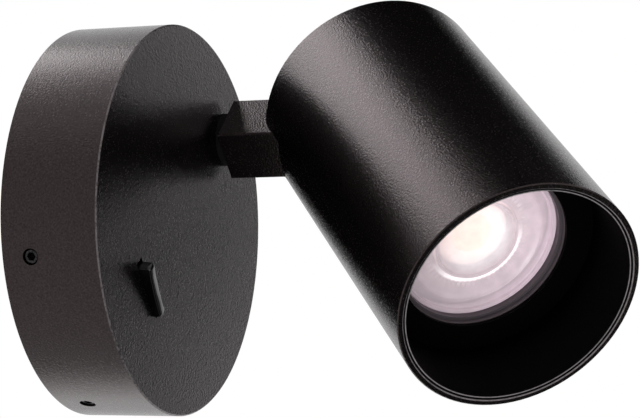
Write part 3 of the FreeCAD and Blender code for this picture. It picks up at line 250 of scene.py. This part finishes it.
# %% Zinc plate
zinc_plate = new_finish("zinc_plate", (0.46, 0.47, 0.48), 0.32, Metallic=1.0)
crystals = grain(zinc_plate, 1.4 * MM, detail=4.0, stretch=(1.0, 1.0, 0.35))
tint(zinc_plate, crystals, (0.43, 0.44, 0.455), (0.50, 0.51, 0.515))
vary(zinc_plate, crystals, "Roughness", 0.24, 0.42)
emboss(zinc_plate, grain(zinc_plate, 0.25 * MM), 0.004 * MM)
dress(zinc_plate, "mounting_plate", "earth_screw", "block_screws", "switch_screws", "arm_stop_washer",
      "arm_spring_washer", "arm_nut", "arm_stud", "pivot_bracket", "pivot_bolt", "pivot_spring_washer",
      "pivot_nut", "holder_bracket", "bracket_screws", "holder_screws")

# %% Blackened steel and brass
black_steel = new_finish("blackened_steel", (0.03, 0.03, 0.032), 0.30, Metallic=1.0)
oxide = grain(black_steel, 0.6 * MM, detail=3.0)
tint(black_steel, oxide, (0.015, 0.015, 0.016), (0.05, 0.05, 0.05))
vary(black_steel, oxide, "Roughness", 0.22, 0.40)
dress(black_steel, "grub_screws")

brass = new_finish("satin_brass", (0.72, 0.50, 0.22), 0.28, Metallic=1.0)
streaks = grain(brass, 0.5 * MM, detail=3.0, stretch=(1.0, 0.15, 1.0))
tint(brass, streaks, (0.62, 0.42, 0.17), (0.78, 0.56, 0.27))
vary(brass, streaks, "Roughness", 0.20, 0.38)
emboss(brass, streaks, 0.003 * MM)
dress(brass, "terminal_tubes", "terminal_screws", "earth_washer", "switch_tags", "holder_contacts",
      "lamp_pins")

# %% [markdown]
# ## Rubber and plastics
# Rubber is dull and dusty. The terminal block and the lamp's base are white plastic, which light
# enters a little way, so a touch of subsurface keeps their edges soft. The switch's body is plain
# black plastic with a spark-eroded texture. Its rocker, which is modelled further on, is polished,
# because a finger touches it. The cable's sheath is black and slightly rough.

# %% Rubber and white plastic
rubber = new_finish("grey_rubber", (0.075, 0.075, 0.078), 0.72)
dust = grain(rubber, 1.2 * MM, detail=4.0)
tint(rubber, dust, (0.06, 0.06, 0.062), (0.10, 0.10, 0.10))
emboss(rubber, grain(rubber, 0.3 * MM), 0.01 * MM)
dress(rubber, "cable_grommet")

white_plastic = new_finish("white_plastic", (0.80, 0.80, 0.77), 0.40, Subsurface_Weight=0.15,
                           Subsurface_Scale=2 * MM)
flow = grain(white_plastic, 6.0 * MM)
tint(white_plastic, flow, (0.76, 0.76, 0.73), (0.83, 0.83, 0.81))
vary(white_plastic, flow, "Roughness", 0.34, 0.46)
emboss(white_plastic, grain(white_plastic, 0.2 * MM), 0.004 * MM)
dress(white_plastic, "terminal_block", "lamp_base")

# %% Black plastics
switch_plastic = new_finish("switch_plastic", (0.018, 0.018, 0.018), 0.50)
spark = grain(switch_plastic, 0.25 * MM)
vary(switch_plastic, spark, "Roughness", 0.42, 0.58)
emboss(switch_plastic, spark, 0.008 * MM)
dress(switch_plastic, "switch_body")

rocker_plastic = new_finish("polished_rocker", (0.001, 0.0009, 0.001), 0.14, Specular_IOR_Level=0.38)
polish = grain(rocker_plastic, 1.5 * MM)
vary(rocker_plastic, polish, "Roughness", 0.10, 0.18)
emboss(rocker_plastic, polish, 0.004 * MM)

sheath = new_finish("cable_sheath", (0.02, 0.02, 0.02), 0.55)
emboss(sheath, grain(sheath, 0.8 * MM, detail=3.0), 0.015 * MM)
dress(sheath, "arm_cable")

# %% [markdown]
# ## Nylon washers and the ceramic lampholder
# The washers between moving faces are nylon, a milky white. The one that fills the gap under the
# arm is given a near-black colour, a painted shade, so that the gap stays a shadow. The lampholder
# is glazed steatite, a fired stone: a cream colour with specks, under a thin clear coat.

# %% Nylon and ceramic
nylon = new_finish("natural_nylon", (0.74, 0.73, 0.69), 0.45, Subsurface_Weight=0.2,
                   Subsurface_Scale=1.5 * MM)
haze = grain(nylon, 2.0 * MM)
tint(nylon, haze, (0.70, 0.69, 0.65), (0.77, 0.76, 0.72))
emboss(nylon, haze, 0.006 * MM)
dress(nylon, "arm_slide_washer", "friction_washers")

# Painted shade: the washer in the gap under the arm is near black, so that the gap reads as shadow.
gap_shade_nylon = new_finish("gap_shade_nylon", (0.0015, 0.0015, 0.0015), 0.7, Specular_IOR_Level=0.15)
emboss(gap_shade_nylon, grain(gap_shade_nylon, 0.5 * MM), 0.006 * MM)
dress(gap_shade_nylon, "arm_face_washer")

steatite = new_finish("glazed_steatite", (0.80, 0.76, 0.68), 0.35, Coat_Weight=0.6, Coat_Roughness=0.12)
specks = grain(steatite, 0.8 * MM, detail=5.0)
tint(steatite, specks, (0.74, 0.70, 0.61), (0.84, 0.80, 0.73))
emboss(steatite, specks, 0.012 * MM)
dress(steatite, "lampholder")

# %% [markdown]
# ## The lamp's own axis
# The lens and the light source stand square to the lamp's axis, which points at a slant. They
# could be modelled in place, but turning a round piece about a slanted axis is awkward. It is
# easier to make each one upright at the origin and carry it over with one matrix. The matrix
# comes from the joint about which the lamp is twisted out, so it is right by design.


# %% The lamp's axis
def joint_named(name):
    """A joint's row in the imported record."""
    return next(joint for joint in frame["record"]["behaviour"]["joints"] if joint["name"] == name)


def axes_about(joint):
    """A matrix whose Z axis is a joint's axis, with its origin at the joint."""
    axis = Vector(joint["axis"]).normalized()
    side = Vector((1, 0, 0)) - axis * axis.x
    side.normalize()
    turn = Matrix((side, axis.cross(side), axis)).transposed().to_4x4()
    return Matrix.Translation(joint["pos_m"]) @ turn


def reach_of(name):
    """How far a node of the head or lamp reaches along the lamp's axis, lowest and highest."""
    origin, axis = lamp_place.translation, lamp_place.col[2].xyz
    along = [(nodes[name].matrix_world @ vertex.co - origin) @ axis for vertex in nodes[name].data.vertices]
    return min(along), max(along)


lamp_place = axes_about(joint_named("lamp_twist"))
lens_low, lens_high = reach_of("lamp_lens")
source_low, source_high = reach_of("light_source")
print("lens from", round(lens_low / MM, 2), "to", round(lens_high / MM, 2), "mm along the axis")

# %% [markdown]
# ## Masks about an axis
# Some details follow a ring on a round piece. Its radius and height about the piece's own axis
# are worked out from the Object coordinates, so that the mask moves with the piece. Short helpers
# keep such trees readable: one gives a point in the axes of a place, and the others measure,
# compare and multiply.


# %% Helpers for masks
def in_axes_of(tree, place, units):
    """The point's Object coordinates in the axes of a place, counted in a unit for each axis."""
    where = new_node(tree, "TexCoord")
    local = new_node(tree, "Mapping", vector_type="TEXTURE")
    local.inputs["Location"].default_value = place.translation
    local.inputs["Rotation"].default_value = place.to_euler()
    local.inputs["Scale"].default_value = units
    tree.links.new(where.outputs["Object"], local.inputs["Vector"])
    return local.outputs["Vector"]


def length_of(tree, vector):
    """The length of a vector, which is a radius where one axis is flattened."""
    measure = new_node(tree, "VectorMath", operation="LENGTH")
    tree.links.new(vector, measure.inputs[0])
    return measure.outputs["Value"]


def within(tree, number, low, high):
    """One where a number lies between two limits, and nought elsewhere."""
    near = new_node(tree, "Math", operation="COMPARE")
    near.inputs[1].default_value = (low + high) / 2
    near.inputs[2].default_value = (high - low) / 2
    tree.links.new(number, near.inputs[0])
    return near.outputs[0]


def product(tree, first, second):
    """One number times another."""
    multiply = new_node(tree, "Math", operation="MULTIPLY")
    tree.links.new(first, multiply.inputs[0])
    tree.links.new(second, multiply.inputs[1])
    return multiply.outputs[0]


# %% [markdown]
# ## Bright edges
# Powder shrinks back from a sharp edge as it melts, and handling polishes what is left, so a rim
# shows as a thin broken line of light. Here the finish paints that line: a pale colour on the edge
# stands for the wear and for the glint of light that the bevel catches, a painted highlight. It
# could be a separate wire, but nothing is there on the real one: only the finish changes. A mask in
# the material marks a ring by its distance from an axis and its height along it, and a noise breaks
# it up. Three edges have one: the base's front edge, the mouth's inner edge, and the end of the
# baffle just inside it, whose line is a painted highlight alone.

# %% Bright edges
# The pale colour of rubbed edges, which also paints the highlight that a bevel catches.
WEAR_AND_GLINT = (0.27, 0.25, 0.26)
NICK = 0.8 * MM
NICK_SPAN = (0.25, 0.55)


def wear_and_glint_ring(material, place, radii, heights, strength, gaps=0.0):
    """Mixes the pale colour of wear and painted highlight into a finish in a ring, with radii and heights
    in mm about an axis.

    The mix has the given strength, and only a share of it, gaps, where a noise nicks the ring.
    """
    tree = material.node_tree
    local = in_axes_of(tree, place, (MM, MM, MM))
    flat = new_node(tree, "VectorMath", operation="MULTIPLY")
    flat.inputs[1].default_value = (1, 1, 0)
    axes = new_node(tree, "SeparateXYZ")
    tree.links.new(local, flat.inputs[0])
    tree.links.new(local, axes.inputs["Vector"])
    ring = product(tree, within(tree, length_of(tree, flat.outputs["Vector"]), *radii),
                   within(tree, axes.outputs["Z"], *heights))
    nicks = remap(tree, grain(material, NICK, detail=3.0), NICK_SPAN, (strength * gaps, strength))
    colour = shader_of(material).inputs["Base Color"]
    mix = new_node(tree, "Mix", data_type="RGBA")
    mix.inputs["A"].default_value = colour.default_value
    if colour.is_linked:
        tree.links.new(colour.links[0].from_socket, mix.inputs["A"])
    mix.inputs["B"].default_value = (*WEAR_AND_GLINT, 1.0)
    tree.links.new(product(tree, ring, nicks), mix.inputs["Factor"])
    tree.links.new(mix.outputs["Result"], colour)


# %% Rings on the base, the mouth and the baffle
HAIR = 0.015
BASE_BEVEL, BASE_BEVEL_DEEP = 0.4, 0.34
TUBE_INNER, MOUTH_BEVEL = 29.0, 0.25
LINER_INNER, LINER_OUTER, LINER_END = 28.0, 28.5, 0.1

base_place = Matrix.Rotation(math.pi / 2, 4, "X")
face_out = -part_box("canopy_housing")[0][1] / MM
base_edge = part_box("canopy_housing")[1][0] / MM
mouth = reach_of("head_tube")[1] / MM
liner = reach_of("glare_baffle")[1] / MM
# Painted highlights, partly wear: pale rings on the base's front edge, the mouth's inner edge and the
# baffle's end.
wear_and_glint_ring(powder_coat, base_place, (base_edge - BASE_BEVEL, base_edge - HAIR),
            (face_out - BASE_BEVEL_DEEP, face_out - HAIR), strength=0.35)
wear_and_glint_ring(powder_coat, lamp_place, (TUBE_INNER - HAIR, TUBE_INNER + MOUTH_BEVEL),
            (mouth - MOUTH_BEVEL, mouth - HAIR), strength=0.6, gaps=0.5)
wear_and_glint_ring(dull_black, lamp_place, (LINER_INNER, LINER_OUTER),
            (liner - LINER_END, liner + HAIR), strength=0.75, gaps=0.5)
print("base face at", round(face_out, 2), "mm, mouth at", round(mouth, 2), "mm, liner at", round(liner, 2))

# %% [markdown]
# ## Turned shapes
# The lens and the light source are bodies of revolution. A cylinder with edited loops could give
# them, but a profile and one turn of spin is how they are drawn by a maker too. After a full spin
# the first and last copies are merged, the pole is closed, and the normals are worked out again,
# since a spin can leave them pointing inwards.

# %% Spinning a profile
SAME_POINT = 0.001 * MM


def turned(profile, steps):
    """A closed round body: points of (radius, height) in millimetres, spun about the Z axis."""
    form = bmesh.new()
    points = [form.verts.new((radius * MM, 0, height * MM)) for radius, height in profile]
    for first, second in zip(points, points[1:]):
        form.edges.new((first, second))
    bmesh.ops.spin(form, geom=form.verts[:] + form.edges[:], cent=(0, 0, 0), axis=(0, 0, 1),
                   angle=math.tau, steps=steps, use_merge=True, use_duplicate=False)
    bmesh.ops.remove_doubles(form, verts=form.verts[:], dist=SAME_POINT)
    bmesh.ops.recalc_face_normals(form, faces=form.faces[:])
    return form


# %% Finishing a piece
SHARP = math.radians(32)


def finished(name, form, material, place=None):
    """Carries a shape to its place, shades it smooth but for its sharp edges, and names it."""
    if place is not None:
        bmesh.ops.transform(form, matrix=place, verts=form.verts[:])
    for face in form.faces:
        face.smooth = True
    for edge in form.edges:
        if len(edge.link_faces) == 2 and edge.calc_face_angle(0) > SHARP:
            edge.smooth = False
    mesh = bpy.data.meshes.new(name)
    form.to_mesh(mesh)
    form.free()
    mesh.materials.append(material)
    piece = bpy.data.objects.new(name, mesh)
    scene.collection.objects.link(piece)
    print(name, len(mesh.polygons), "faces")
    return piece


# %% [markdown]
# ## The shape of the lens
# The lamp throws its light through one moulding of clear plastic. In its middle a shallow pillow
# covers the light source. A low ridge with steep sides rings the pillow and gleams, then comes a
# dished zone of flutes that spreads the side light, then a flat step, and last the rim.
# One clear cylinder would show none of this. The rings are in the spun profile, and the flutes are
# made by setting every other spoke of the dished zone down a little.

# %% Lens shape
LENS_RIM = 20.6
FLUTES = 60
FLUTE_INNER, FLUTE_OUTER, FLUTE_DROP = 11.9 * MM, 16.8 * MM, 0.22 * MM

top = (lens_high - lens_low) / MM
lens_profile = [
    (0, 0), (LENS_RIM, 0), (LENS_RIM, top - 0.2), (LENS_RIM - 0.2, top), (LENS_RIM - 0.9, top),
    (LENS_RIM - 1.1, top - 0.15), (LENS_RIM - 1.3, top - 0.7), (LENS_RIM - 1.6, top - 0.85),
    (17.0, top - 0.85), (16.6, top - 1.0), (15.4, top - 1.25), (14.2, top - 1.45), (13.0, top - 1.6),
    (12.0, top - 1.68), (11.5, top - 1.70), (11.2, top - 1.60), (10.9, top - 1.0), (10.7, top - 0.85),
    (10.4, top - 0.80), (10.2, top - 0.95), (10.0, top - 1.30), (9.7, top - 1.35), (9.2, top - 1.15),
    (8.0, top - 0.90), (6.0, top - 0.62), (4.0, top - 0.45), (2.0, top - 0.36), (0, top - 0.33),
]
lens_form = turned(lens_profile, FLUTES * 2)
for vertex in lens_form.verts:
    if FLUTE_INNER < vertex.co.xy.length < FLUTE_OUTER and vertex.co.z > top / 2 * MM:
        spoke = round(math.atan2(vertex.co.y, vertex.co.x) / math.tau * FLUTES * 2)
        vertex.co.z -= FLUTE_DROP * (spoke % 2)
print("lens", round(top, 2), "mm thick,", FLUTES, "flutes")

# %% [markdown]
# ## The light in the lens
# The lamp is lit, and what is seen of its light is a milky glow in the plastic. Real rays through
# so small a lens would take very many samples, so the plastic gives off a weak light of its own
# instead. Its colour goes by rings: bright over the source, weaker over the flutes, dim at the rim.
# Two layers are added. The glow covers the whole lens and leans to one side, in soft clouds: the
# lean is painted light and shade, the room's light that the baffle lets onto one side of the lens
# and keeps off the other. The second layer is a painted highlight, an arc at the outer foot of the
# ridge. Both are fixed to the lamp, not to the camera.

# %% A colour in rings
FLATTENED = 1000.0


def across_lens(tree):
    """Where a point lies across the lens, in shares of its radius, with its depth flattened away."""
    return in_axes_of(tree, lamp_place, (LENS_RIM * MM, LENS_RIM * MM, FLATTENED))


def rings_of_colour(material, rings):
    """A colour by the distance from the lamp's axis: rings are (share of the lens's radius, colour)."""
    tree = material.node_tree
    ramp = new_node(tree, "ValToRGB")
    bands = ramp.color_ramp.elements
    bands[0].position = rings[0][0]
    bands[1].position = rings[-1][0]
    for share, _ in rings[1:-1]:
        bands.new(share)
    for band, (_, colour) in zip(bands, rings):
        band.color = (*colour, 1.0)
    tree.links.new(length_of(tree, across_lens(tree)), ramp.inputs["Fac"])
    return ramp.outputs["Color"]


# %% A lean to one side
CLOUD = 3.5 * MM
CLOUD_LIMITS = (0.8, 1.15)


def lean(material, colour, angle, span, limits):
    """Lets a colour grow over a span of the lens, towards an angle round its axis, in soft clouds, as
    painted light and shade.
    """
    tree = material.node_tree
    towards = math.radians(angle)
    along = new_node(tree, "VectorMath", operation="DOT_PRODUCT")
    along.inputs[1].default_value = (math.cos(towards), math.sin(towards), 0)
    tree.links.new(across_lens(tree), along.inputs[0])
    growth = remap(tree, along.outputs["Value"], span, limits)
    clouds = remap(tree, grain(material, CLOUD), NOISE_SPAN, CLOUD_LIMITS)
    scaled = new_node(tree, "VectorMath", operation="SCALE")
    tree.links.new(colour, scaled.inputs[0])
    tree.links.new(product(tree, growth, clouds), scaled.inputs["Scale"])
    return scaled.outputs["Vector"]


# %% Lens finish
# The colour of the painted highlight arc on the lens.
NO_LIGHT, PAINTED_GLEAM = (0.0, 0.0, 0.0), (0.6, 0.6, 0.6)
GLOW_TOWARDS, PAINTED_GLEAM_TOWARDS = 70, 5

clear_plastic = new_finish("clear_plastic", (0.80, 0.72, 0.76), 0.12, Transmission_Weight=0.45, IOR=1.49,
                           Emission_Strength=1.0)
glow_rings = rings_of_colour(clear_plastic, (
    (0.0, (0.46, 0.45, 0.43)), (0.34, (0.46, 0.45, 0.46)), (0.48, (0.26, 0.22, 0.23)),
    (0.80, (0.27, 0.21, 0.24)), (0.86, (0.16, 0.12, 0.14)), (1.0, (0.12, 0.09, 0.11))))
painted_gleam_rings = rings_of_colour(clear_plastic, (
    (0.0, NO_LIGHT), (0.53, NO_LIGHT), (0.55, PAINTED_GLEAM), (0.585, PAINTED_GLEAM), (0.61, NO_LIGHT), (1.0, NO_LIGHT)))
# Painted light and shade: the glow grows towards the side where the baffle lets the room's light in, and a
# painted highlight arc lies by the ridge.
glow = lean(clear_plastic, glow_rings, GLOW_TOWARDS, span=(-0.9, 0.9), limits=(0.3, 1.3))
painted_gleam = lean(clear_plastic, painted_gleam_rings, PAINTED_GLEAM_TOWARDS, span=(0.05, 0.45), limits=(0.0, 1.0))
lens_tree = clear_plastic.node_tree
both = new_node(lens_tree, "VectorMath", operation="ADD")
lens_tree.links.new(glow, both.inputs[0])
lens_tree.links.new(painted_gleam, both.inputs[1])
lens_tree.links.new(both.outputs["Vector"], shader_of(clear_plastic).inputs["Emission Color"])
ripple = grain(clear_plastic, 1.4 * MM, detail=1.0)
vary(clear_plastic, ripple, "Roughness", 0.08, 0.20)
emboss(clear_plastic, ripple, 0.02 * MM)

lens = finished("lamp_lens_moulding", lens_form, clear_plastic,
                lamp_place @ Matrix.Translation((0, 0, lens_low)))
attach(lens, "lamp")
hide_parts("lamp_lens")

# %% [markdown]
# ## The lamp's shell
# The shell is a white moulding that holds the lens. What shows of it is a narrow rim round the
# lens, deep in the baffle's shade, and that shade is painted onto it as a dark colour. A second
# material on the rim would need a cut in the solid, so the same rings that colour the lens's light
# colour the shell by its distance from the axis.

# %% Lamp shell
lamp_shell = new_finish("lamp_shell", (0.7, 0.68, 0.68), 0.35)
# Painted shade: the shell is coloured dark at its rim, where the baffle shades it.
shell_rim_shade_rings = rings_of_colour(lamp_shell, (
    (0.0, (0.75, 0.72, 0.72)), (0.97, (0.70, 0.66, 0.68)), (0.99, (0.12, 0.10, 0.11)),
    (1.0, (0.09, 0.075, 0.085))))
lamp_shell.node_tree.links.new(shell_rim_shade_rings, shader_of(lamp_shell).inputs["Base Color"])
emboss(lamp_shell, grain(lamp_shell, 0.5 * MM), 0.006 * MM)
dress(lamp_shell, "lamp_body")

# %% [markdown]
# ## The light source
# Under the pillow sits a disc of yellow phosphor on a white board. It glows here, since the lamp is
# lit in the picture, but only gently, so that its warm colour isn't lost to white. The board is
# a spun plate, and the phosphor is a low cushion on it.

# %% Light source
BOARD, PHOSPHOR, CROWN = 8.5, 7.4, 5.0
BOARD_STEPS = 72

thick = (source_high - source_low) / MM
board_form = turned([
    (0, 0), (BOARD, 0), (BOARD, thick - 0.35), (BOARD - 0.15, thick - 0.2),
    (PHOSPHOR, thick - 0.2), (PHOSPHOR - 0.2, thick - 0.05), (CROWN, thick), (0, thick),
], BOARD_STEPS)
phosphor = new_finish("phosphor", (0.95, 0.80, 0.55), 0.5, Emission_Strength=0.7)
warmth = rings_of_colour(phosphor, (
    (0.0, (1.0, 0.78, 0.58)), (0.30, (1.0, 0.78, 0.60)), (0.41, (0.25, 0.2, 0.2))))
phosphor.node_tree.links.new(warmth, shader_of(phosphor).inputs["Emission Color"])
emboss(phosphor, grain(phosphor, 0.5 * MM), 0.01 * MM)
source = finished("light_source_disc", board_form, phosphor,
                  lamp_place @ Matrix.Translation((0, 0, source_low)))
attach(source, "lamp")
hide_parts("light_source")

# %% [markdown]
# ## The rocker
# The rocker is a thin blade of polished black plastic, worn round by its mould: its long edges are
# soft, its ends are softer, and its top dips in the middle to take a fingertip. A box would read
# as a chip of glass. Its outline is drawn once as a face and extruded, then the ends and the edges
# of the part that shows are bevelled. It pivots on a pin at each side, inside the base.

# %% Rocker sizes and edges
ROCKER_HALF, ROCKER_WIDE, ROCKER_TOP = 8.0, 2.7, 6.1
END_ROUND, LONG_ROUND = 1.1, 0.62
BLADE_FROM = 0.5
PIN_RADIUS, PIN_LENGTH = 1.2, 6.1
NEAR_END, NEAR_SIDE = 0.1, 0.01
PRESSED = math.radians(6)


def rounded(form, chosen, offset, segments):
    """Rounds the edges of a shape that pass a test on their middle, in mm, and their direction."""
    edges = [edge for edge in form.edges
             if chosen((edge.verts[0].co + edge.verts[1].co) / 2 / MM, edge.verts[0].co - edge.verts[1].co)]
    bmesh.ops.bevel(form, geom=edges, offset=offset * MM, segments=segments, profile=0.5,
                    affect="EDGES", material=-1, clamp_overlap=True)


def is_end(at, way):
    """An edge across the blade, at the top of one of its ends."""
    return abs(at.x) > ROCKER_HALF - NEAR_END and at.z > ROCKER_TOP - NEAR_END and abs(way.y) > MM


def is_long(at, way):
    """An edge of one of the blade's two broad sides, on the part that shows."""
    return abs(abs(at.y) - ROCKER_WIDE / 2) < NEAR_SIDE and at.z > BLADE_FROM


# %% Rocker shape
rocker_outline = (
    (-ROCKER_HALF, -0.72), (-2.88, -2.4), (2.88, -2.4), (ROCKER_HALF, -0.72), (ROCKER_HALF, ROCKER_TOP),
    (4.2, 5.86), (0.0, 5.8), (-4.2, 5.86), (-ROCKER_HALF, ROCKER_TOP))
rocker_form = bmesh.new()
side = rocker_form.faces.new([rocker_form.verts.new((x * MM, -ROCKER_WIDE / 2 * MM, z * MM))
                              for x, z in rocker_outline])
grown = bmesh.ops.extrude_face_region(rocker_form, geom=[side])["geom"]
bmesh.ops.translate(rocker_form, vec=(0, ROCKER_WIDE * MM, 0),
                    verts=[item for item in grown if isinstance(item, bmesh.types.BMVert)])
bmesh.ops.recalc_face_normals(rocker_form, faces=rocker_form.faces[:])
rounded(rocker_form, is_end, END_ROUND, segments=6)
rounded(rocker_form, is_long, LONG_ROUND, segments=5)
bmesh.ops.create_cone(rocker_form, cap_ends=True, segments=32, radius1=PIN_RADIUS * MM,
                      radius2=PIN_RADIUS * MM, depth=PIN_LENGTH * MM,
                      matrix=Matrix.Rotation(math.pi / 2, 4, "X"))
rocker_place = (Matrix.Translation(joint_named("switch_rock")["pos_m"]) @ base_place
                @ Matrix.Rotation(PRESSED, 4, "Y"))
rocker = finished("rocker_blade", rocker_form, rocker_plastic, rocker_place)
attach(rocker, "rocker")
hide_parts("switch_rocker")

# %% [markdown]
# ## The room
# The background is white paper, far off. A world that is white to the camera gives that, and the
# sheen and the clear lens have to see the same white, or the coat would mirror a grey room that
# isn't there. The light that the world casts is kept a little lower. The floor is pale and lies
# well below the light, because the camera itself is low.

# %% World
ROOM_LIGHT = 0.85
WHITE = (1.0, 1.0, 1.0, 1.0)


def white_room():
    """A world that is full white to the camera, sheen and clear pieces, and dimmer as a light."""
    world = bpy.data.worlds.new("white_room")
    world.use_nodes = True
    scene.world = world
    tree = world.node_tree
    tree.nodes.clear()
    path = new_node(tree, "LightPath")
    seen = path.outputs["Is Camera Ray"]
    for ray in ("Is Glossy Ray", "Is Transmission Ray"):
        either = new_node(tree, "Math", operation="MAXIMUM")
        tree.links.new(seen, either.inputs[0])
        tree.links.new(path.outputs[ray], either.inputs[1])
        seen = either.outputs[0]
    mix = new_node(tree, "MixShader")
    tree.links.new(seen, mix.inputs["Fac"])
    for mix_input, strength in ((1, ROOM_LIGHT), (2, 1.0)):
        background = new_node(tree, "Background")
        background.inputs["Color"].default_value = WHITE
        background.inputs["Strength"].default_value = strength
        tree.links.new(background.outputs[0], mix.inputs[mix_input])
    out = new_node(tree, "OutputWorld")
    tree.links.new(mix.outputs[0], out.inputs["Surface"])


white_room()
print("room light", ROOM_LIGHT)

# %% Floor
FLOOR_DOWN, FLOOR_HALF = -0.9, 15.0

floor_form = bmesh.new()
bmesh.ops.create_grid(floor_form, x_segments=4, y_segments=4, size=FLOOR_HALF)
bmesh.ops.translate(floor_form, vec=(0, 0, FLOOR_DOWN), verts=floor_form.verts[:])
paper = new_finish("pale_paper", (0.86, 0.86, 0.85), 0.9)
emboss(paper, grain(paper, 4 * MM, detail=3.0), 0.05 * MM)
floor = finished("floor", floor_form, paper)

# %% [markdown]
# ## Soft boxes
# A black tube is drawn by its reflections. The main soft box, behind the light and up to its left,
# lays a long bright band down the head, and lights the arm's top and the upper end of the
# base's side. A weak one on the far side lifts the lower end of that side, which the first can't
# reach. A small one in front of the mouth and below it reaches down the baffle to the lens.


# %% Soft boxes
def soft_box(name, towards, distance, width, height, radiance):
    """An area light in a direction from the object, given by how bright its surface looks."""
    direction = Vector(towards).normalized()
    data = bpy.data.lights.new(name, "AREA")
    data.shape = "RECTANGLE"
    data.size = width
    data.size_y = height
    data.energy = radiance * math.pi * width * height
    light = bpy.data.objects.new(name, data)
    light.location = direction * distance
    light.rotation_euler = direction.to_track_quat("Z", "Y").to_euler()
    scene.collection.objects.link(light)
    print(name, round(data.energy, 2), "W")


soft_box("soft_box", towards=(-0.40, 0.65, 0.64), distance=1.0, width=0.62, height=0.55, radiance=3.6)
soft_box("low_fill", towards=(0.86, 0.48, -0.14), distance=1.0, width=0.5, height=0.5, radiance=0.9)
soft_box("mouth_fill", towards=(0.14, -0.35, -0.80), distance=0.8, width=0.35, height=0.35, radiance=3.5)

# %% [markdown]
# ## Flags
# A white room would turn the whole coat grey, so black cards stand where its darks should mirror
# them. Nothing but the sheen sees the cards, so they cast no shadow. The top flag hangs over the
# head: the middle of the tube falls to black, and only its far edge picks the white up again. The
# side flag darkens the base's face and the rocker. The low flag keeps the front of the arm and the
# rocker dark from below, and the front flag does the same for the lower left edge of the tube.


# %% Flags
def flag(name, centre, width, height, normal, spin=0.0):
    """A black card for the sheen to mirror, spun about its normal. Nothing else sees it."""
    form = bmesh.new()
    bmesh.ops.create_grid(form, x_segments=2, y_segments=2, size=0.5)
    bmesh.ops.scale(form, vec=(width, height, 1), verts=form.verts[:])
    turn = Vector(normal).to_track_quat("Z", "Y").to_matrix().to_4x4() @ Matrix.Rotation(spin, 4, "Z")
    felt = new_finish(name + "_felt", (0.002, 0.002, 0.002), 1.0, Specular_IOR_Level=0.0)
    card = finished(name, form, felt, Matrix.Translation(centre) @ turn)
    card.visible_camera = False
    card.visible_diffuse = False
    card.visible_transmission = False
    card.visible_shadow = False


flag("top_flag", centre=(-0.34, 0.0, 0.70), width=0.97, height=0.57, normal=(0, 0, 1),
     spin=math.radians(-14))
flag("side_flag", centre=(0.29, -0.60, 0.35), width=0.66, height=0.66, normal=(0.5, -0.7, 0.5))
flag("low_flag", centre=(0.27, -0.19, -0.36), width=0.24, height=0.24, normal=(0.54, -0.37, -0.76))
flag("front_flag", centre=(0.36, -0.42, -0.34), width=0.40, height=0.40, normal=(0.61, -0.57, -0.54))
